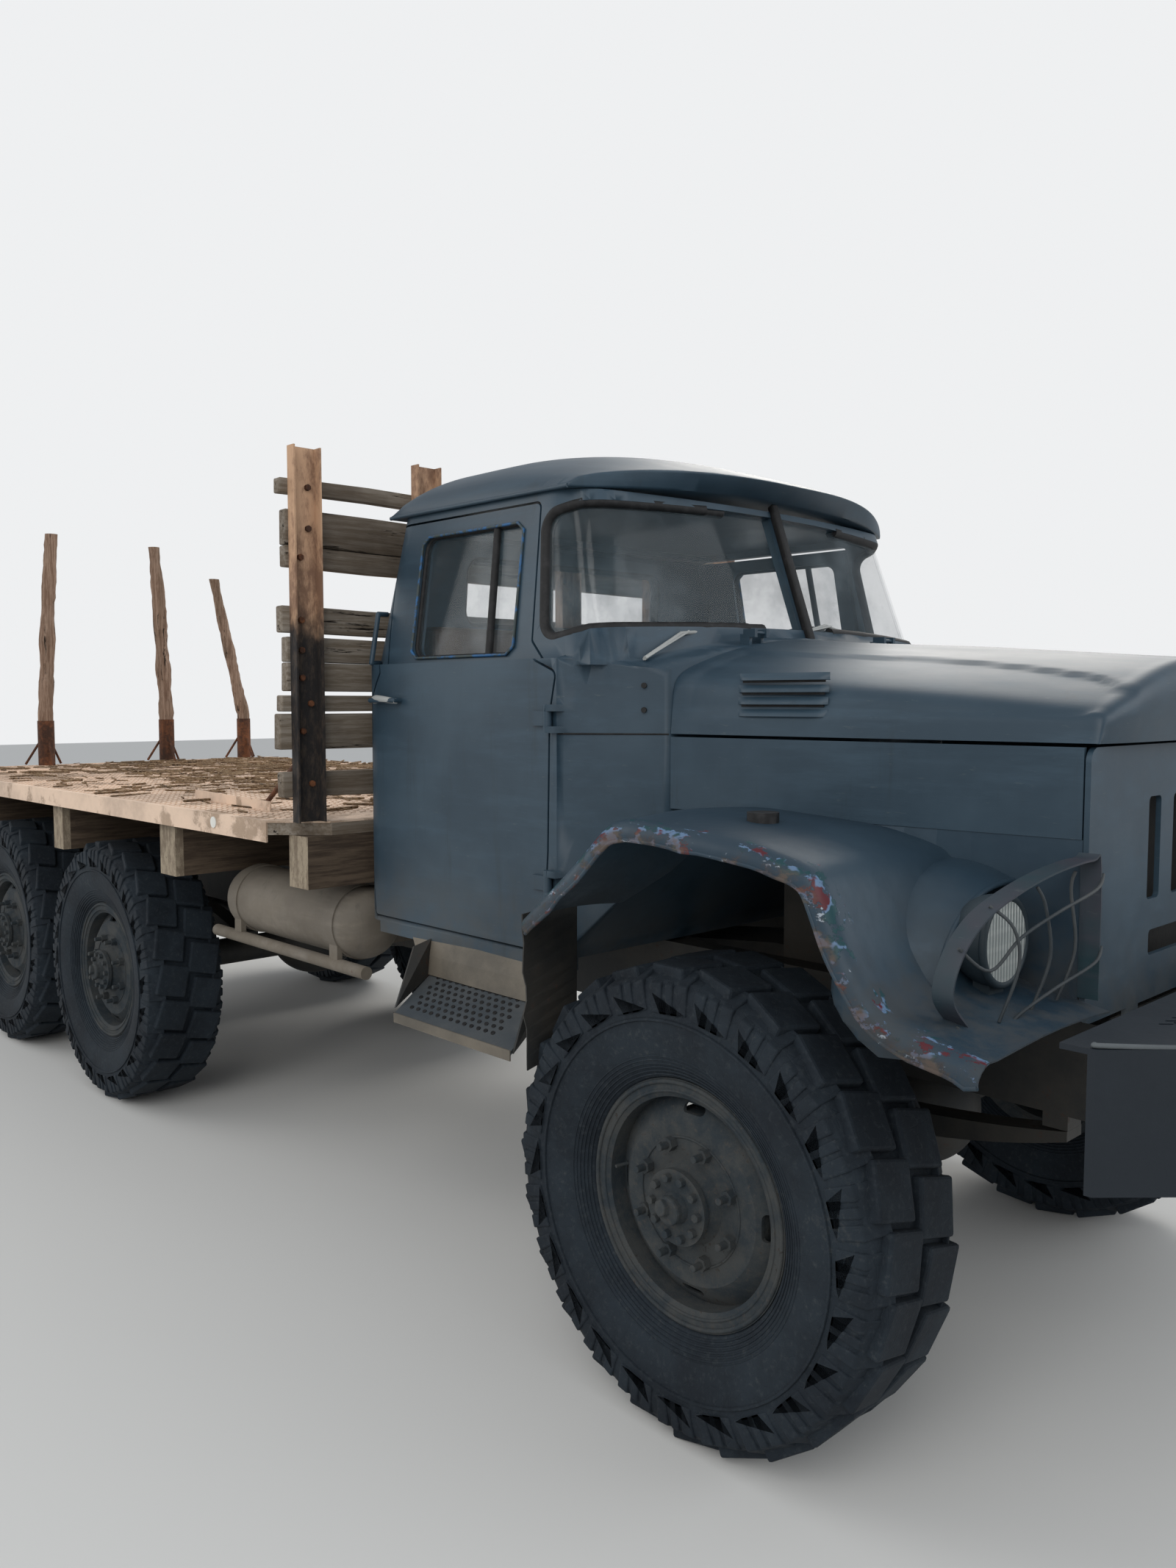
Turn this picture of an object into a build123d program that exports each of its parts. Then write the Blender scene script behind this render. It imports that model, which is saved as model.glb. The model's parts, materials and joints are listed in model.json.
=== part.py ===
import os
from math import acos, atan2, cos, radians, sin, sqrt

from build123d import *

# A bonneted six-wheel-drive army truck with a home-made timber and plate deck, as it
# stands today. Millimetres. +X is forward, +Y the driver's side, +Z up, ground at Z = 0,
# and the origin lies under the middle of the overall length.
os.makedirs("parts", exist_ok=True)

# Driving dimensions
FRONT_X = 2300.0          # front axle
WHEELBASE = 3350.0        # front axle to middle axle
BOGIE = 1250.0            # middle axle to rear axle
TRACK = 1820.0
TYRE_R = 560.0
TYRE_W = 320.0
CLEAR = 7.0               # running gap round doors and hood
SEAT = 0.3                # gap between pieces that rest on each other
FIT = 0.3                 # radial clearance of pins

MID_X = FRONT_X - WHEELBASE
REAR_X = MID_X - BOGIE
WHEEL_Y = TRACK / 2
WHEEL_Z = TYRE_R
SIDES = ((-1, "right"), (1, "left"))

# Tyre and wheel, in a frame with the axle along Y and the outer side at +Y
CROWN_R = TYRE_R - 20.0
LUG_COUNT = 24
LUG_SHARE = 0.62          # part of each pitch that a lug fills
LUG_INNER_Y = 12.0
LUG_OUTER_Y = 148.0
TREAD_T = 42.0
SIDEWALL_T = 24.0
BULGE_R = 425.0
RIM_SEAT_R = 257.0
RIM_FLANGE_R = 292.0
RIM_HALF = 118.0
RIM_T = 10.0
DISC_Y = 98.0             # outer face of the flat part of the disc
DISC_T = 10.0
DISC_EDGE_Y = 60.0        # where the disc meets the rim
DISC_FLAT_R = 196.0
STUD_PCR = 137.5
STUD_COUNT = 8
NUT_R = 17.0
NUT_H = 22.0
SLOT_COUNT = 4
SLOT_R = 216.0
SLOT_LEN = 64.0
SLOT_W = 20.0
HUB_R = 88.0
HUB_END_Y = 146.0
HUB_FLANGE_T = 14.0
HUB_CAP_R = 38.0
HUB_CAP_H = 18.0
HUB_BORE_R = 36.0
HUB_WALL = 26.0
DRUM_R = 205.0
DRUM_T = 12.0
DRUM_IN_Y = -50.0
BARREL_IN_Y = -54.0
SPINDLE_END_Y = 100.0

# Steering
PIVOT_Y = 750.0
BALL_R = 80.0
CUP_GAP = 5.0
CUP_T = 14.0
CUP_OPEN = 22.0           # the cup's open face lies this far inboard of the pivot
PIN_R = 18.0
BOSS_R = 32.0
PLATE_R = 198.0
PLATE_T = 6.0
PLATE_GAP = 5.5
ARM_BACK = 240.0
ARM_IN = 85.0
ARM_T = 30.0
ARM_LOW_Z = WHEEL_Z - 15.0
ROD_Z = WHEEL_Z - 60.0
ROD_R = 17.0
EYE_R = 24.0
EYE_H = 30.0
STUD_R = 10.0

# Axles and springs
TUBE_R = 60.0
TUBE_END_R = 46.0
BANJO_R = 170.0
BANJO_HALF = 200.0
NOSE_R = 58.0
NOSE_REACH = 195.0
NOSE_RISE = 25.0
NECK_L = 80.0             # taper of the front axle's tube towards its balls
SPRING_W = 75.0
SPRING_T = 62.0
SPRING_TIP_T = 24.0
SPRING_HALF = 620.0
SPRING_RISE = 95.0
PACK_T = 85.0
PACK_RISE = 40.0
PACK_TIP = 50.0

# Frame
RAIL_OUT_Y = 410.0
RAIL_W = 75.0
RAIL_T = 8.0
RAIL_TOP = 1000.0
RAIL_H = 225.0
RAIL_Y = RAIL_OUT_Y - RAIL_W / 2
RAIL_LOW = RAIL_TOP - RAIL_H
FRAME_FRONT_X = FRONT_X + 950.0
FRAME_REAR_X = FRONT_X - 5650.0
CROSS_W = 110.0
TOW_X = FRAME_REAR_X + CROSS_W / 2 + 5.0
TOW_BORE_R = 24.0
TOW_Z = 885.0

# Deck
DECK_FRONT_X = FRONT_X - 1600.0
DECK_REAR_X = FRONT_X - 5800.0
DECK_HALF_W = 1125.0
DECK_TOP = 1331.0
DECK_T = 6.0
DECK_CORNER = 150.0       # front corners cut back
FRONT_SHEET_L = 1200.0    # sheet under the headboard
REAR_SHEET_L = 230.0      # strip that carries the stakes
JOINT_W = 4.0
JOINT_DEEP = 2.0
EDGE_H = 71.0
EDGE_T = 6.0
BOARD_T = 40.0
BEAM_H = 222.0
STRINGER_W = 74.0
BOARD_TOP = DECK_TOP - DECK_T - SEAT
BEAM_TOP = BOARD_TOP - BOARD_T

# Headboard and stakes
POST_X = FRONT_X - 1644.0     # rear face of the posts' webs
POST_W = 100.0
POST_D = 40.0
POST_T = 6.0
POST_TOP = 2530.0
POST_YS = (-1035.0, -559.0, 108.0, 590.0, 1035.0)
PLANK_T = 40.0
STAKE_X = DECK_REAR_X + 70.0
SOCKET_H = 270.0
SOCKET_T = 4.0
BRACE_R = 7.0

# Cab
CAB_REAR_X = FRONT_X - 1568.0
CAB_BOTTOM = 1010.0
SILL_Z = 975.0            # underside of the sills
SILL_W = 80.0
CAB_HALF_W = 880.0
CAB_CORNER_R = 110.0
CAB_WALL = 42.0
BELT_Z = 1840.0
BELT_HALF_W = 850.0
HEADER_Z = 2315.0
HEADER_HALF_W = 765.0
HEADER_REAR_X = FRONT_X - 1520.0
COWL_REAR_X = FRONT_X - 600.0
COWL_X = FRONT_X - 349.0
COWL_HALF_W = 700.0
COWL_LOW = 1330.0
COWL_SIDE_Z = 1806.0
COWL_TOP = 1905.0
BELT_CORNER_X = FRONT_X - 500.0
BELT_FRONT_X = FRONT_X - 380.0
BELT_R = 200.0
HEADER_CORNER_X = FRONT_X - 640.0
HEADER_FRONT_X = FRONT_X - 560.0
HEADER_R = 170.0
FLOOR_Z = CAB_BOTTOM + CAB_WALL

# Doors and glass
SKIN_T = 12.0             # door skin that overhangs the door's body
SKIN_LAP = 10.0
GLASS_T = 6.0
GLASS_IN = 16.0
HINGE_X = FRONT_X - 622.0
HINGE_OUT = 14.0
HINGE_ZS = (1224.0, 1676.0)
HINGE_R = 12.0
HINGE_PIN_R = 6.0
HINGE_H = 40.0
HANDLE_Z = 1725.0
TAB_H = 18.0
SCREEN_POST = 26.0
REAR_WINDOW_HALF = 487.0
REAR_WINDOW_LOW = 1979.0
REAR_WINDOW_HIGH = 2220.0
ROOF_TOP = 2505.0
ROOF_T = 28.0
ROOF_EDGE = 12.0          # drip rail beyond the cab side
BROW_X = FRONT_X - 480.0
BROW_SIDE_X = FRONT_X - 655.0

# Hood and front
HOOD_REAR_X = COWL_X + CLEAR
HOOD_FRONT_X = FRONT_X + 790.0
NOSE_X = FRONT_X + 742.0
NOSE_HALF_W = 618.0
HOOD_SEAM_Z = 1636.0
HOOD_FRONT_TOP = 1822.0
HOOD_FRONT_SIDE_Z = 1715.0
HOOD_T = 12.0
SHOULDER_DROP = 20.0      # from the hood's side height down to where its shoulder starts
NOSE_INSET = 4.0          # hood's front edge inside the grille panel's, each side
HOOD_LEAN = 14.0          # inward lean of the hood's sides up to the shoulder
SIDE_LOW_Z = 1438.0
SIDE_T = 12.0
SIDE_R = 80.0
LOUVRE_COUNT = 4
LOUVRE_LEN = 260.0
LOUVRE_W = 16.0
LOUVRE_H = 8.0
LOUVRE_ROOT = 8.0         # depth of a louvre's foot in the hood's skin
LOUVRE_PITCH = 30.0
LOUVRE_X = FRONT_X - 12.0
LOUVRE_Z = 1740.0
GRILLE_T = 12.0
GRILLE_X = NOSE_X - GRILLE_T
GRILLE_LOW = 1050.0
GRILLE_SLOTS = 5
GRILLE_PITCH = 140.0
GRILLE_SLOT_W = 68.0
GRILLE_SLOT_LOW = 1280.0
GRILLE_SLOT_HIGH = 1512.0
GRILLE_LOW_SLOT_Z = 1180.0
GRILLE_LOW_SLOT_W = 277.0
GRILLE_LOW_SLOT_H = 58.0
FENDER_OUT_Y = 1150.0
FENDER_T = 8.0
FENDER_LIP = 38.0
LAMP_X = FRONT_X + 650.0
LAMP_Y = 795.0
LAMP_Z = 1240.0
LAMP_R = 94.0
LAMP_DEEP = 105.0
BUMPER_FRONT_X = FRONT_X + 1200.0
BUMPER_LOW = 918.0
BUMPER_TOP = 1163.0
BUMPER_T = 10.0
BUMPER_HALF = 1150.0
BUMPER_BEND_Y = 930.0
BUMPER_END_X = FRONT_X + 994.0

# Engine and running gear
ENGINE_FRONT_X = FRONT_X + 480.0
ENGINE_REAR_X = FRONT_X - 270.0
ENGINE_HALF_W = 300.0
ENGINE_LOW = 745.0
ENGINE_TOP = 1450.0
RADIATOR_X = FRONT_X + 590.0
RADIATOR_T = 80.0
RADIATOR_HALF_W = 380.0
RADIATOR_H = 555.0
GEARBOX_LEN = 640.0
TRANSFER_X = FRONT_X - 1750.0
TRANSFER_HALF = 200.0
SHAFT_R = 36.0

# Steps, gas cylinder and fuel tank
STEP_T = 10.0
CYLINDER_R = 125.0
CYLINDER_Y = 800.0
CYLINDER_Z = 966.0
CYLINDER_FRONT_X = FRONT_X - 1580.0
CYLINDER_REAR_X = FRONT_X - 2495.0
CYLINDER_END_R = 90.0
STRAP_W = 50.0
STRAP_T = 5.0
RAIL_PIPE_R = 22.0
TANK_FRONT_X = FRONT_X - 1640.0
TANK_REAR_X = FRONT_X - 2480.0
TANK_OUT_Y = 980.0
TANK_IN_Y = 560.0
TANK_LOW = 700.0
TANK_TOP = 1045.0

# Wheels
with BuildPart() as tyre_form:
    # Carcass: an open channel facing the rim
    bead_y = RIM_HALF - RIM_T - 2.5
    inner_y = bead_y - SIDEWALL_T
    crown_in = CROWN_R - TREAD_T
    shoulder_r = CROWN_R - 18
    lip_r = RIM_FLANGE_R + 1
    with BuildSketch(Plane.YZ):
        with BuildLine():
            Polyline((-inner_y, RIM_SEAT_R), (-bead_y, RIM_SEAT_R), (-bead_y - 1.5, lip_r), (-RIM_HALF - 2, lip_r))
            ThreePointArc((-RIM_HALF - 2, lip_r), (-TYRE_W / 2, BULGE_R), (-LUG_OUTER_Y, shoulder_r))
            Polyline((-LUG_OUTER_Y, shoulder_r), (14 - LUG_OUTER_Y, CROWN_R), (LUG_OUTER_Y - 14, CROWN_R),
                     (LUG_OUTER_Y, shoulder_r))
            ThreePointArc((LUG_OUTER_Y, shoulder_r), (TYRE_W / 2, BULGE_R), (RIM_HALF + 2, lip_r))
            Polyline((RIM_HALF + 2, lip_r), (bead_y + 1.5, lip_r), (bead_y, RIM_SEAT_R), (inner_y, RIM_SEAT_R),
                     (TYRE_W / 2 - SIDEWALL_T, BULGE_R), (LUG_OUTER_Y - 28, crown_in),
                     (28 - LUG_OUTER_Y, crown_in), (SIDEWALL_T - TYRE_W / 2, BULGE_R), (-inner_y, RIM_SEAT_R))
        make_face()
    revolve(axis=Axis.Y)
    # Each half of the tread is one toothed ring, and the two are half a pitch apart
    pitch = 360.0 / LUG_COUNT
    half_lug = pitch * LUG_SHARE / 2
    lug_root = CROWN_R - 12
    for side, turn in ((1, 0.25), (-1, -0.25)):
        with BuildSketch(Plane.XZ.offset(-side * LUG_INNER_Y)):
            Circle(CROWN_R - 1)
            for i in range(LUG_COUNT):
                start = radians((i + turn) * pitch + 90 - half_lug)
                end = radians((i + turn) * pitch + 90 + half_lug)
                with BuildLine():
                    Polyline(
                        (lug_root * cos(start), lug_root * sin(start)), (TYRE_R * cos(start), TYRE_R * sin(start)),
                        (TYRE_R * cos(end), TYRE_R * sin(end)), (lug_root * cos(end), lug_root * sin(end)),
                        close=True,
                    )
                make_face()
            Circle(CROWN_R - 26, mode=Mode.SUBTRACT)
        extrude(amount=-side * (LUG_OUTER_Y - LUG_INNER_Y))

with BuildPart() as wheel_form:
    rim_in = RIM_SEAT_R - SEAT - RIM_T
    slope = (DISC_Y - DISC_EDGE_Y) / (rim_in - DISC_FLAT_R)
    drum_back_y = DISC_Y - DISC_T - slope * (DRUM_R - DISC_FLAT_R)
    barrel_r = HUB_BORE_R + HUB_WALL
    web_y = DISC_Y - 2 * DISC_T
    with BuildSketch(Plane.YZ):
        # Rim with its flanges
        with BuildLine():
            Polyline(
                (-RIM_HALF, RIM_FLANGE_R), (-RIM_HALF + RIM_T, RIM_FLANGE_R),
                (-RIM_HALF + RIM_T + 2, RIM_SEAT_R - SEAT), (RIM_HALF - RIM_T - 2, RIM_SEAT_R - SEAT),
                (RIM_HALF - RIM_T, RIM_FLANGE_R), (RIM_HALF, RIM_FLANGE_R), (RIM_HALF, RIM_SEAT_R + 4),
                (RIM_HALF - 8, rim_in), (-RIM_HALF + 8, rim_in), (-RIM_HALF, RIM_SEAT_R + 4),
                close=True,
            )
        make_face()
        # Dished disc with the hub and the brake drum behind it
        with BuildLine():
            Polyline(
                (BARREL_IN_Y, HUB_BORE_R), (BARREL_IN_Y, barrel_r), (web_y, barrel_r), (web_y, DRUM_R - DRUM_T),
                (DRUM_IN_Y, DRUM_R - DRUM_T), (DRUM_IN_Y, DRUM_R), (drum_back_y, DRUM_R),
                (DISC_EDGE_Y - DISC_T, rim_in + 2), (DISC_EDGE_Y, rim_in + 2), (DISC_Y, DISC_FLAT_R),
                (DISC_Y, HUB_R + 10), (HUB_END_Y - HUB_FLANGE_T, HUB_R - 12), (HUB_END_Y - HUB_FLANGE_T, HUB_R),
                (HUB_END_Y, HUB_R), (HUB_END_Y, HUB_CAP_R), (HUB_END_Y + HUB_CAP_H, HUB_CAP_R - 6),
                (HUB_END_Y + HUB_CAP_H, 0), (SPINDLE_END_Y + 1, 0), (SPINDLE_END_Y + 1, HUB_BORE_R),
                close=True,
            )
        make_face()
    revolve(axis=Axis.Y)
    with BuildSketch(Plane.XZ.offset(1 - DISC_Y)):
        with PolarLocations(STUD_PCR, STUD_COUNT, start_angle=22.5):
            RegularPolygon(NUT_R, 6)
    extrude(amount=-NUT_H - 1)
    with BuildSketch(Plane.XZ.offset(-DISC_Y - 5)):
        with PolarLocations(SLOT_R, SLOT_COUNT):
            SlotOverall(SLOT_LEN, SLOT_W, rotation=90)
    extrude(amount=60, mode=Mode.SUBTRACT)

WHEELS = (
    # name, x, side
    ("front_right", FRONT_X, -1),
    ("front_left", FRONT_X, 1),
    ("mid_right", MID_X, -1),
    ("mid_left", MID_X, 1),
    ("rear_right", REAR_X, -1),
    ("rear_left", REAR_X, 1),
)
for wheel_name, wheel_x, side in WHEELS:
    place = Location((wheel_x, side * WHEEL_Y, WHEEL_Z), (0, 0, 0 if side > 0 else 180))
    for kind, form in (("tyre_", tyre_form), ("wheel_", wheel_form)):
        copy = form.part.moved(place)
        copy.label = kind + wheel_name
        export_step(copy, "parts/" + kind + wheel_name + ".step")


# Axles and steering
BACKPLATE_Y = WHEEL_Y + DRUM_IN_Y - PLATE_GAP - PLATE_T
SPINDLE_R = HUB_BORE_R - FIT


def axle_outline(right_end):
    """Outline of half an axle above its centre line; right_end runs outboard from the banjo."""
    right = [(BANJO_HALF, WHEEL_Z + TUBE_R)] + [(y, WHEEL_Z + r) for y, r in right_end]
    left = [(-y, z) for y, z in reversed(right)]
    Polyline(*right, *left)
    ThreePointArc(left[-1], (0, WHEEL_Z + BANJO_R), right[0])


# Front axle: banjo, tube and balls turned in one, with king pins and the pinion nose behind
with BuildPart() as front_axle:
    with BuildSketch(Plane.XY.offset(WHEEL_Z)):
        neck_y = PIVOT_Y - sqrt(BALL_R**2 - TUBE_END_R**2)
        # The banjo is a ball whose cones run off it to the tube
        reach = sqrt(BANJO_HALF**2 + TUBE_R**2)
        bend = atan2(TUBE_R, BANJO_HALF) + acos(BANJO_R / reach)
        banjo_y = BANJO_R * cos(bend)
        banjo_x = FRONT_X + BANJO_R * sin(bend)
        with BuildLine():
            for side, tag in SIDES:
                neck = (FRONT_X + TUBE_END_R, side * neck_y)
                Polyline((FRONT_X + TUBE_R, side * BANJO_HALF), (FRONT_X + TUBE_R, side * (neck_y - NECK_L)), neck)
                ThreePointArc(neck, (FRONT_X + BALL_R, side * PIVOT_Y), (FRONT_X, side * (PIVOT_Y + BALL_R)))
                Line((banjo_x, side * banjo_y), (FRONT_X + TUBE_R, side * BANJO_HALF))
            ThreePointArc((banjo_x, -banjo_y), (FRONT_X + BANJO_R, 0), (banjo_x, banjo_y))
            Line((FRONT_X, -PIVOT_Y - BALL_R), (FRONT_X, PIVOT_Y + BALL_R))
        make_face()
    revolve(axis=Axis((FRONT_X, 0, WHEEL_Z), (0, 1, 0)))
    for side, tag in SIDES:
        with Locations((FRONT_X, side * PIVOT_Y, WHEEL_Z)):
            Cylinder(PIN_R, 2 * (BALL_R + CUP_GAP + CUP_T + 10))
    with BuildSketch(Plane.YZ.offset(FRONT_X - NOSE_REACH)):
        with Locations((0, WHEEL_Z + NOSE_RISE)):
            Circle(NOSE_R)
    extrude(amount=NOSE_REACH - 90)
front_axle.part.label = "front_axle"
export_step(front_axle.part, "parts/front_axle.step")

# Middle and rear axles with their backing plates and spindles
with BuildPart() as rear_axles:
    plate_end = BACKPLATE_Y + PLATE_T
    for axle_x in (MID_X, REAR_X):
        with BuildSketch(Plane.YZ.offset(axle_x)):
            with BuildLine():
                axle_outline((
                    (BACKPLATE_Y, TUBE_R), (BACKPLATE_Y, PLATE_R), (plate_end, PLATE_R), (plate_end, SPINDLE_R),
                    (WHEEL_Y + SPINDLE_END_Y, SPINDLE_R), (WHEEL_Y + SPINDLE_END_Y, 0),
                ))
            make_face()
        revolve(axis=Axis((axle_x, 0, WHEEL_Z), (0, 1, 0)))
        with BuildSketch(Plane.YZ.offset(axle_x + 90)):
            with Locations((0, WHEEL_Z + NOSE_RISE)):
                Circle(NOSE_R)
        extrude(amount=NOSE_REACH - 90)
rear_axles.part.label = "rear_axles"
export_step(rear_axles.part, "parts/rear_axles.step")

# Steering knuckles: ball cup, king pin bosses, backing plate, spindle, arm and stud
cup_r = BALL_R + CUP_GAP + CUP_T
spindle_root = PIVOT_Y + BALL_R + CUP_GAP + 2
for side, tag in SIDES:
    pivot = side * PIVOT_Y
    arm_y = side * (PIVOT_Y - ARM_IN)
    arm_end = FRONT_X - ARM_BACK
    with BuildPart() as knuckle:
        with Locations((FRONT_X, pivot, WHEEL_Z)):
            Sphere(cup_r)
            Cylinder(BOSS_R, 2 * (cup_r + 16))
            Sphere(BALL_R + CUP_GAP, mode=Mode.SUBTRACT)
            Cylinder(PIN_R + FIT, 3 * cup_r, mode=Mode.SUBTRACT)
        with Locations((FRONT_X, pivot - side * (CUP_OPEN + cup_r), WHEEL_Z)):
            Box(4 * cup_r, 2 * cup_r, 4 * cup_r, mode=Mode.SUBTRACT)
        with BuildSketch(Plane.XZ.offset(-side * BACKPLATE_Y)):
            with Locations((FRONT_X, WHEEL_Z)):
                Circle(PLATE_R)
        extrude(amount=-side * PLATE_T)
        with BuildSketch(Plane.XZ.offset(-side * spindle_root)):
            with Locations((FRONT_X, WHEEL_Z)):
                Circle(SPINDLE_R)
        extrude(amount=-side * (WHEEL_Y + SPINDLE_END_Y - spindle_root))
        with BuildSketch(Plane.XY.offset(ARM_LOW_Z)):
            with BuildLine():
                Polyline(
                    (FRONT_X - cup_r + 10, pivot + side * 22), (FRONT_X - cup_r + 10, pivot - side * 12),
                    (FRONT_X - 150, arm_y - side * 4), (arm_end + 10, arm_y - side * 18),
                    (arm_end - 20, arm_y - side * 18), (arm_end - 20, arm_y + side * 18),
                    (arm_end + 10, arm_y + side * 18), (FRONT_X - 150, arm_y + side * 44),
                    close=True,
                )
            make_face()
        extrude(amount=ARM_T)
        # The right stud carries the track rod and the left one stops above it
        stud_low = ROD_Z - EYE_H / 2 - 2 if side < 0 else ROD_Z + EYE_H / 2 + 5
        with BuildSketch(Plane.XY.offset(stud_low)):
            with Locations((arm_end, arm_y)):
                Circle(STUD_R)
        extrude(amount=ARM_LOW_Z + 2 - stud_low)
    knuckle.part.label = "knuckle_" + tag
    export_step(knuckle.part, "parts/knuckle_" + tag + ".step")

# Track rod between the arms
with BuildPart() as track_rod:
    rod_half = PIVOT_Y - ARM_IN
    with Locations((FRONT_X - ARM_BACK, 0, ROD_Z)):
        Cylinder(ROD_R, 2 * rod_half, rotation=(90, 0, 0))
    with Locations((FRONT_X - ARM_BACK, -rod_half, ROD_Z), (FRONT_X - ARM_BACK, rod_half, ROD_Z)):
        Cylinder(EYE_R, EYE_H)
    with Locations((FRONT_X - ARM_BACK, -rod_half, ROD_Z)):
        Cylinder(STUD_R + FIT, EYE_H + 10, mode=Mode.SUBTRACT)
track_rod.part.label = "track_rod"
export_step(track_rod.part, "parts/track_rod.step")

# Leaf springs: front packs bow down, rear packs bow up and bear on both axles
SPRING_SEAT = WHEEL_Z + TUBE_R + SEAT
SPRING_TIP_Z = SPRING_SEAT + SPRING_RISE
PACK_X = (MID_X + REAR_X) / 2
with BuildPart() as leaf_springs:
    pack_half = BOGIE / 2 + PACK_TIP
    arch_half = BOGIE / 2 - PACK_TIP
    tip_top = SPRING_SEAT + SPRING_TIP_T
    front_end = FRONT_X + SPRING_HALF
    back_end = FRONT_X - SPRING_HALF
    for side, tag in SIDES:
        spring_plane = Plane.XZ.offset(-side * RAIL_Y - SPRING_W / 2)
        with BuildSketch(spring_plane):
            with BuildLine():
                ThreePointArc((back_end, SPRING_TIP_Z), (FRONT_X, SPRING_SEAT), (front_end, SPRING_TIP_Z))
                Line((front_end, SPRING_TIP_Z), (front_end, SPRING_TIP_Z + SPRING_TIP_T))
                ThreePointArc((front_end, SPRING_TIP_Z + SPRING_TIP_T), (FRONT_X, SPRING_SEAT + SPRING_T),
                              (back_end, SPRING_TIP_Z + SPRING_TIP_T))
                Line((back_end, SPRING_TIP_Z + SPRING_TIP_T), (back_end, SPRING_TIP_Z))
            make_face()
        extrude(amount=SPRING_W)
        with BuildSketch(spring_plane):
            with BuildLine():
                Line((PACK_X - pack_half, SPRING_SEAT), (PACK_X - arch_half, SPRING_SEAT))
                ThreePointArc((PACK_X - arch_half, SPRING_SEAT), (PACK_X, SPRING_SEAT + PACK_RISE),
                              (PACK_X + arch_half, SPRING_SEAT))
                Polyline((PACK_X + arch_half, SPRING_SEAT), (PACK_X + pack_half, SPRING_SEAT),
                         (PACK_X + pack_half, tip_top), (PACK_X + arch_half, tip_top))
                ThreePointArc((PACK_X + arch_half, tip_top), (PACK_X, SPRING_SEAT + PACK_RISE + PACK_T),
                              (PACK_X - arch_half, tip_top))
                Polyline((PACK_X - arch_half, tip_top), (PACK_X - pack_half, tip_top),
                         (PACK_X - pack_half, SPRING_SEAT))
            make_face()
        extrude(amount=SPRING_W)
leaf_springs.part.label = "leaf_springs"
export_step(leaf_springs.part, "parts/leaf_springs.step")

# Frame: two channel rails, cross members, spring hangers, bogie seats and cab mounts
HANGERS = (
    # x, length along the rail, z of the lower end
    (FRONT_X - SPRING_HALF + 30, 60, SPRING_TIP_Z + SPRING_TIP_T + SEAT),
    (FRONT_X + SPRING_HALF - 30, 60, SPRING_TIP_Z + SPRING_TIP_T + SEAT),
    (PACK_X, 200, SPRING_SEAT + PACK_RISE + PACK_T + SEAT),
)
CROSS_MEMBERS = (
    # x, z of the lower face, z of the upper face
    (FRAME_FRONT_X - CROSS_W / 2 - 5, 830, 950),
    (RADIATOR_X, 880, 980),
    (FRONT_X - 1200, 892, 960),
    (FRONT_X - 2350, 830, 960),
    (PACK_X, 800, 960),
    (REAR_X - 560, 830, 960),
    (TOW_X, 790, 980),
)
with BuildPart() as frame_rails:
    for side, tag in SIDES:
        with BuildSketch(Plane.YZ.offset(FRAME_REAR_X)):
            with Locations((side * RAIL_Y, RAIL_TOP - RAIL_H / 2)):
                Rectangle(RAIL_W, RAIL_H)
            with Locations((side * (RAIL_Y - RAIL_T), RAIL_TOP - RAIL_H / 2)):
                Rectangle(RAIL_W, RAIL_H - 2 * RAIL_T, mode=Mode.SUBTRACT)
        extrude(amount=FRAME_FRONT_X - FRAME_REAR_X)
        for hanger_x, hanger_len, low in HANGERS:
            high = RAIL_LOW + RAIL_T / 2
            with Locations((hanger_x, side * RAIL_Y, (low + high) / 2)):
                Box(hanger_len, SPRING_W - 5, high - low)
        for mount_x in (CAB_REAR_X + 170, CAB_REAR_X + 860):
            low = RAIL_TOP - RAIL_T / 2
            high = CAB_BOTTOM - SEAT
            with Locations((mount_x, side * RAIL_Y, (low + high) / 2)):
                Box(110, RAIL_W - 5, high - low)
    for cross_x, low, high in CROSS_MEMBERS:
        with Locations((cross_x, 0, (low + high) / 2)):
            Box(CROSS_W, 2 * RAIL_OUT_Y - RAIL_T, high - low)
    with Locations((TOW_X, 0, TOW_Z)):
        Cylinder(TOW_BORE_R, CROSS_W + 2, rotation=(0, 90, 0), mode=Mode.SUBTRACT)
frame_rails.part.label = "frame_rails"
export_step(frame_rails.part, "parts/frame_rails.step")

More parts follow.
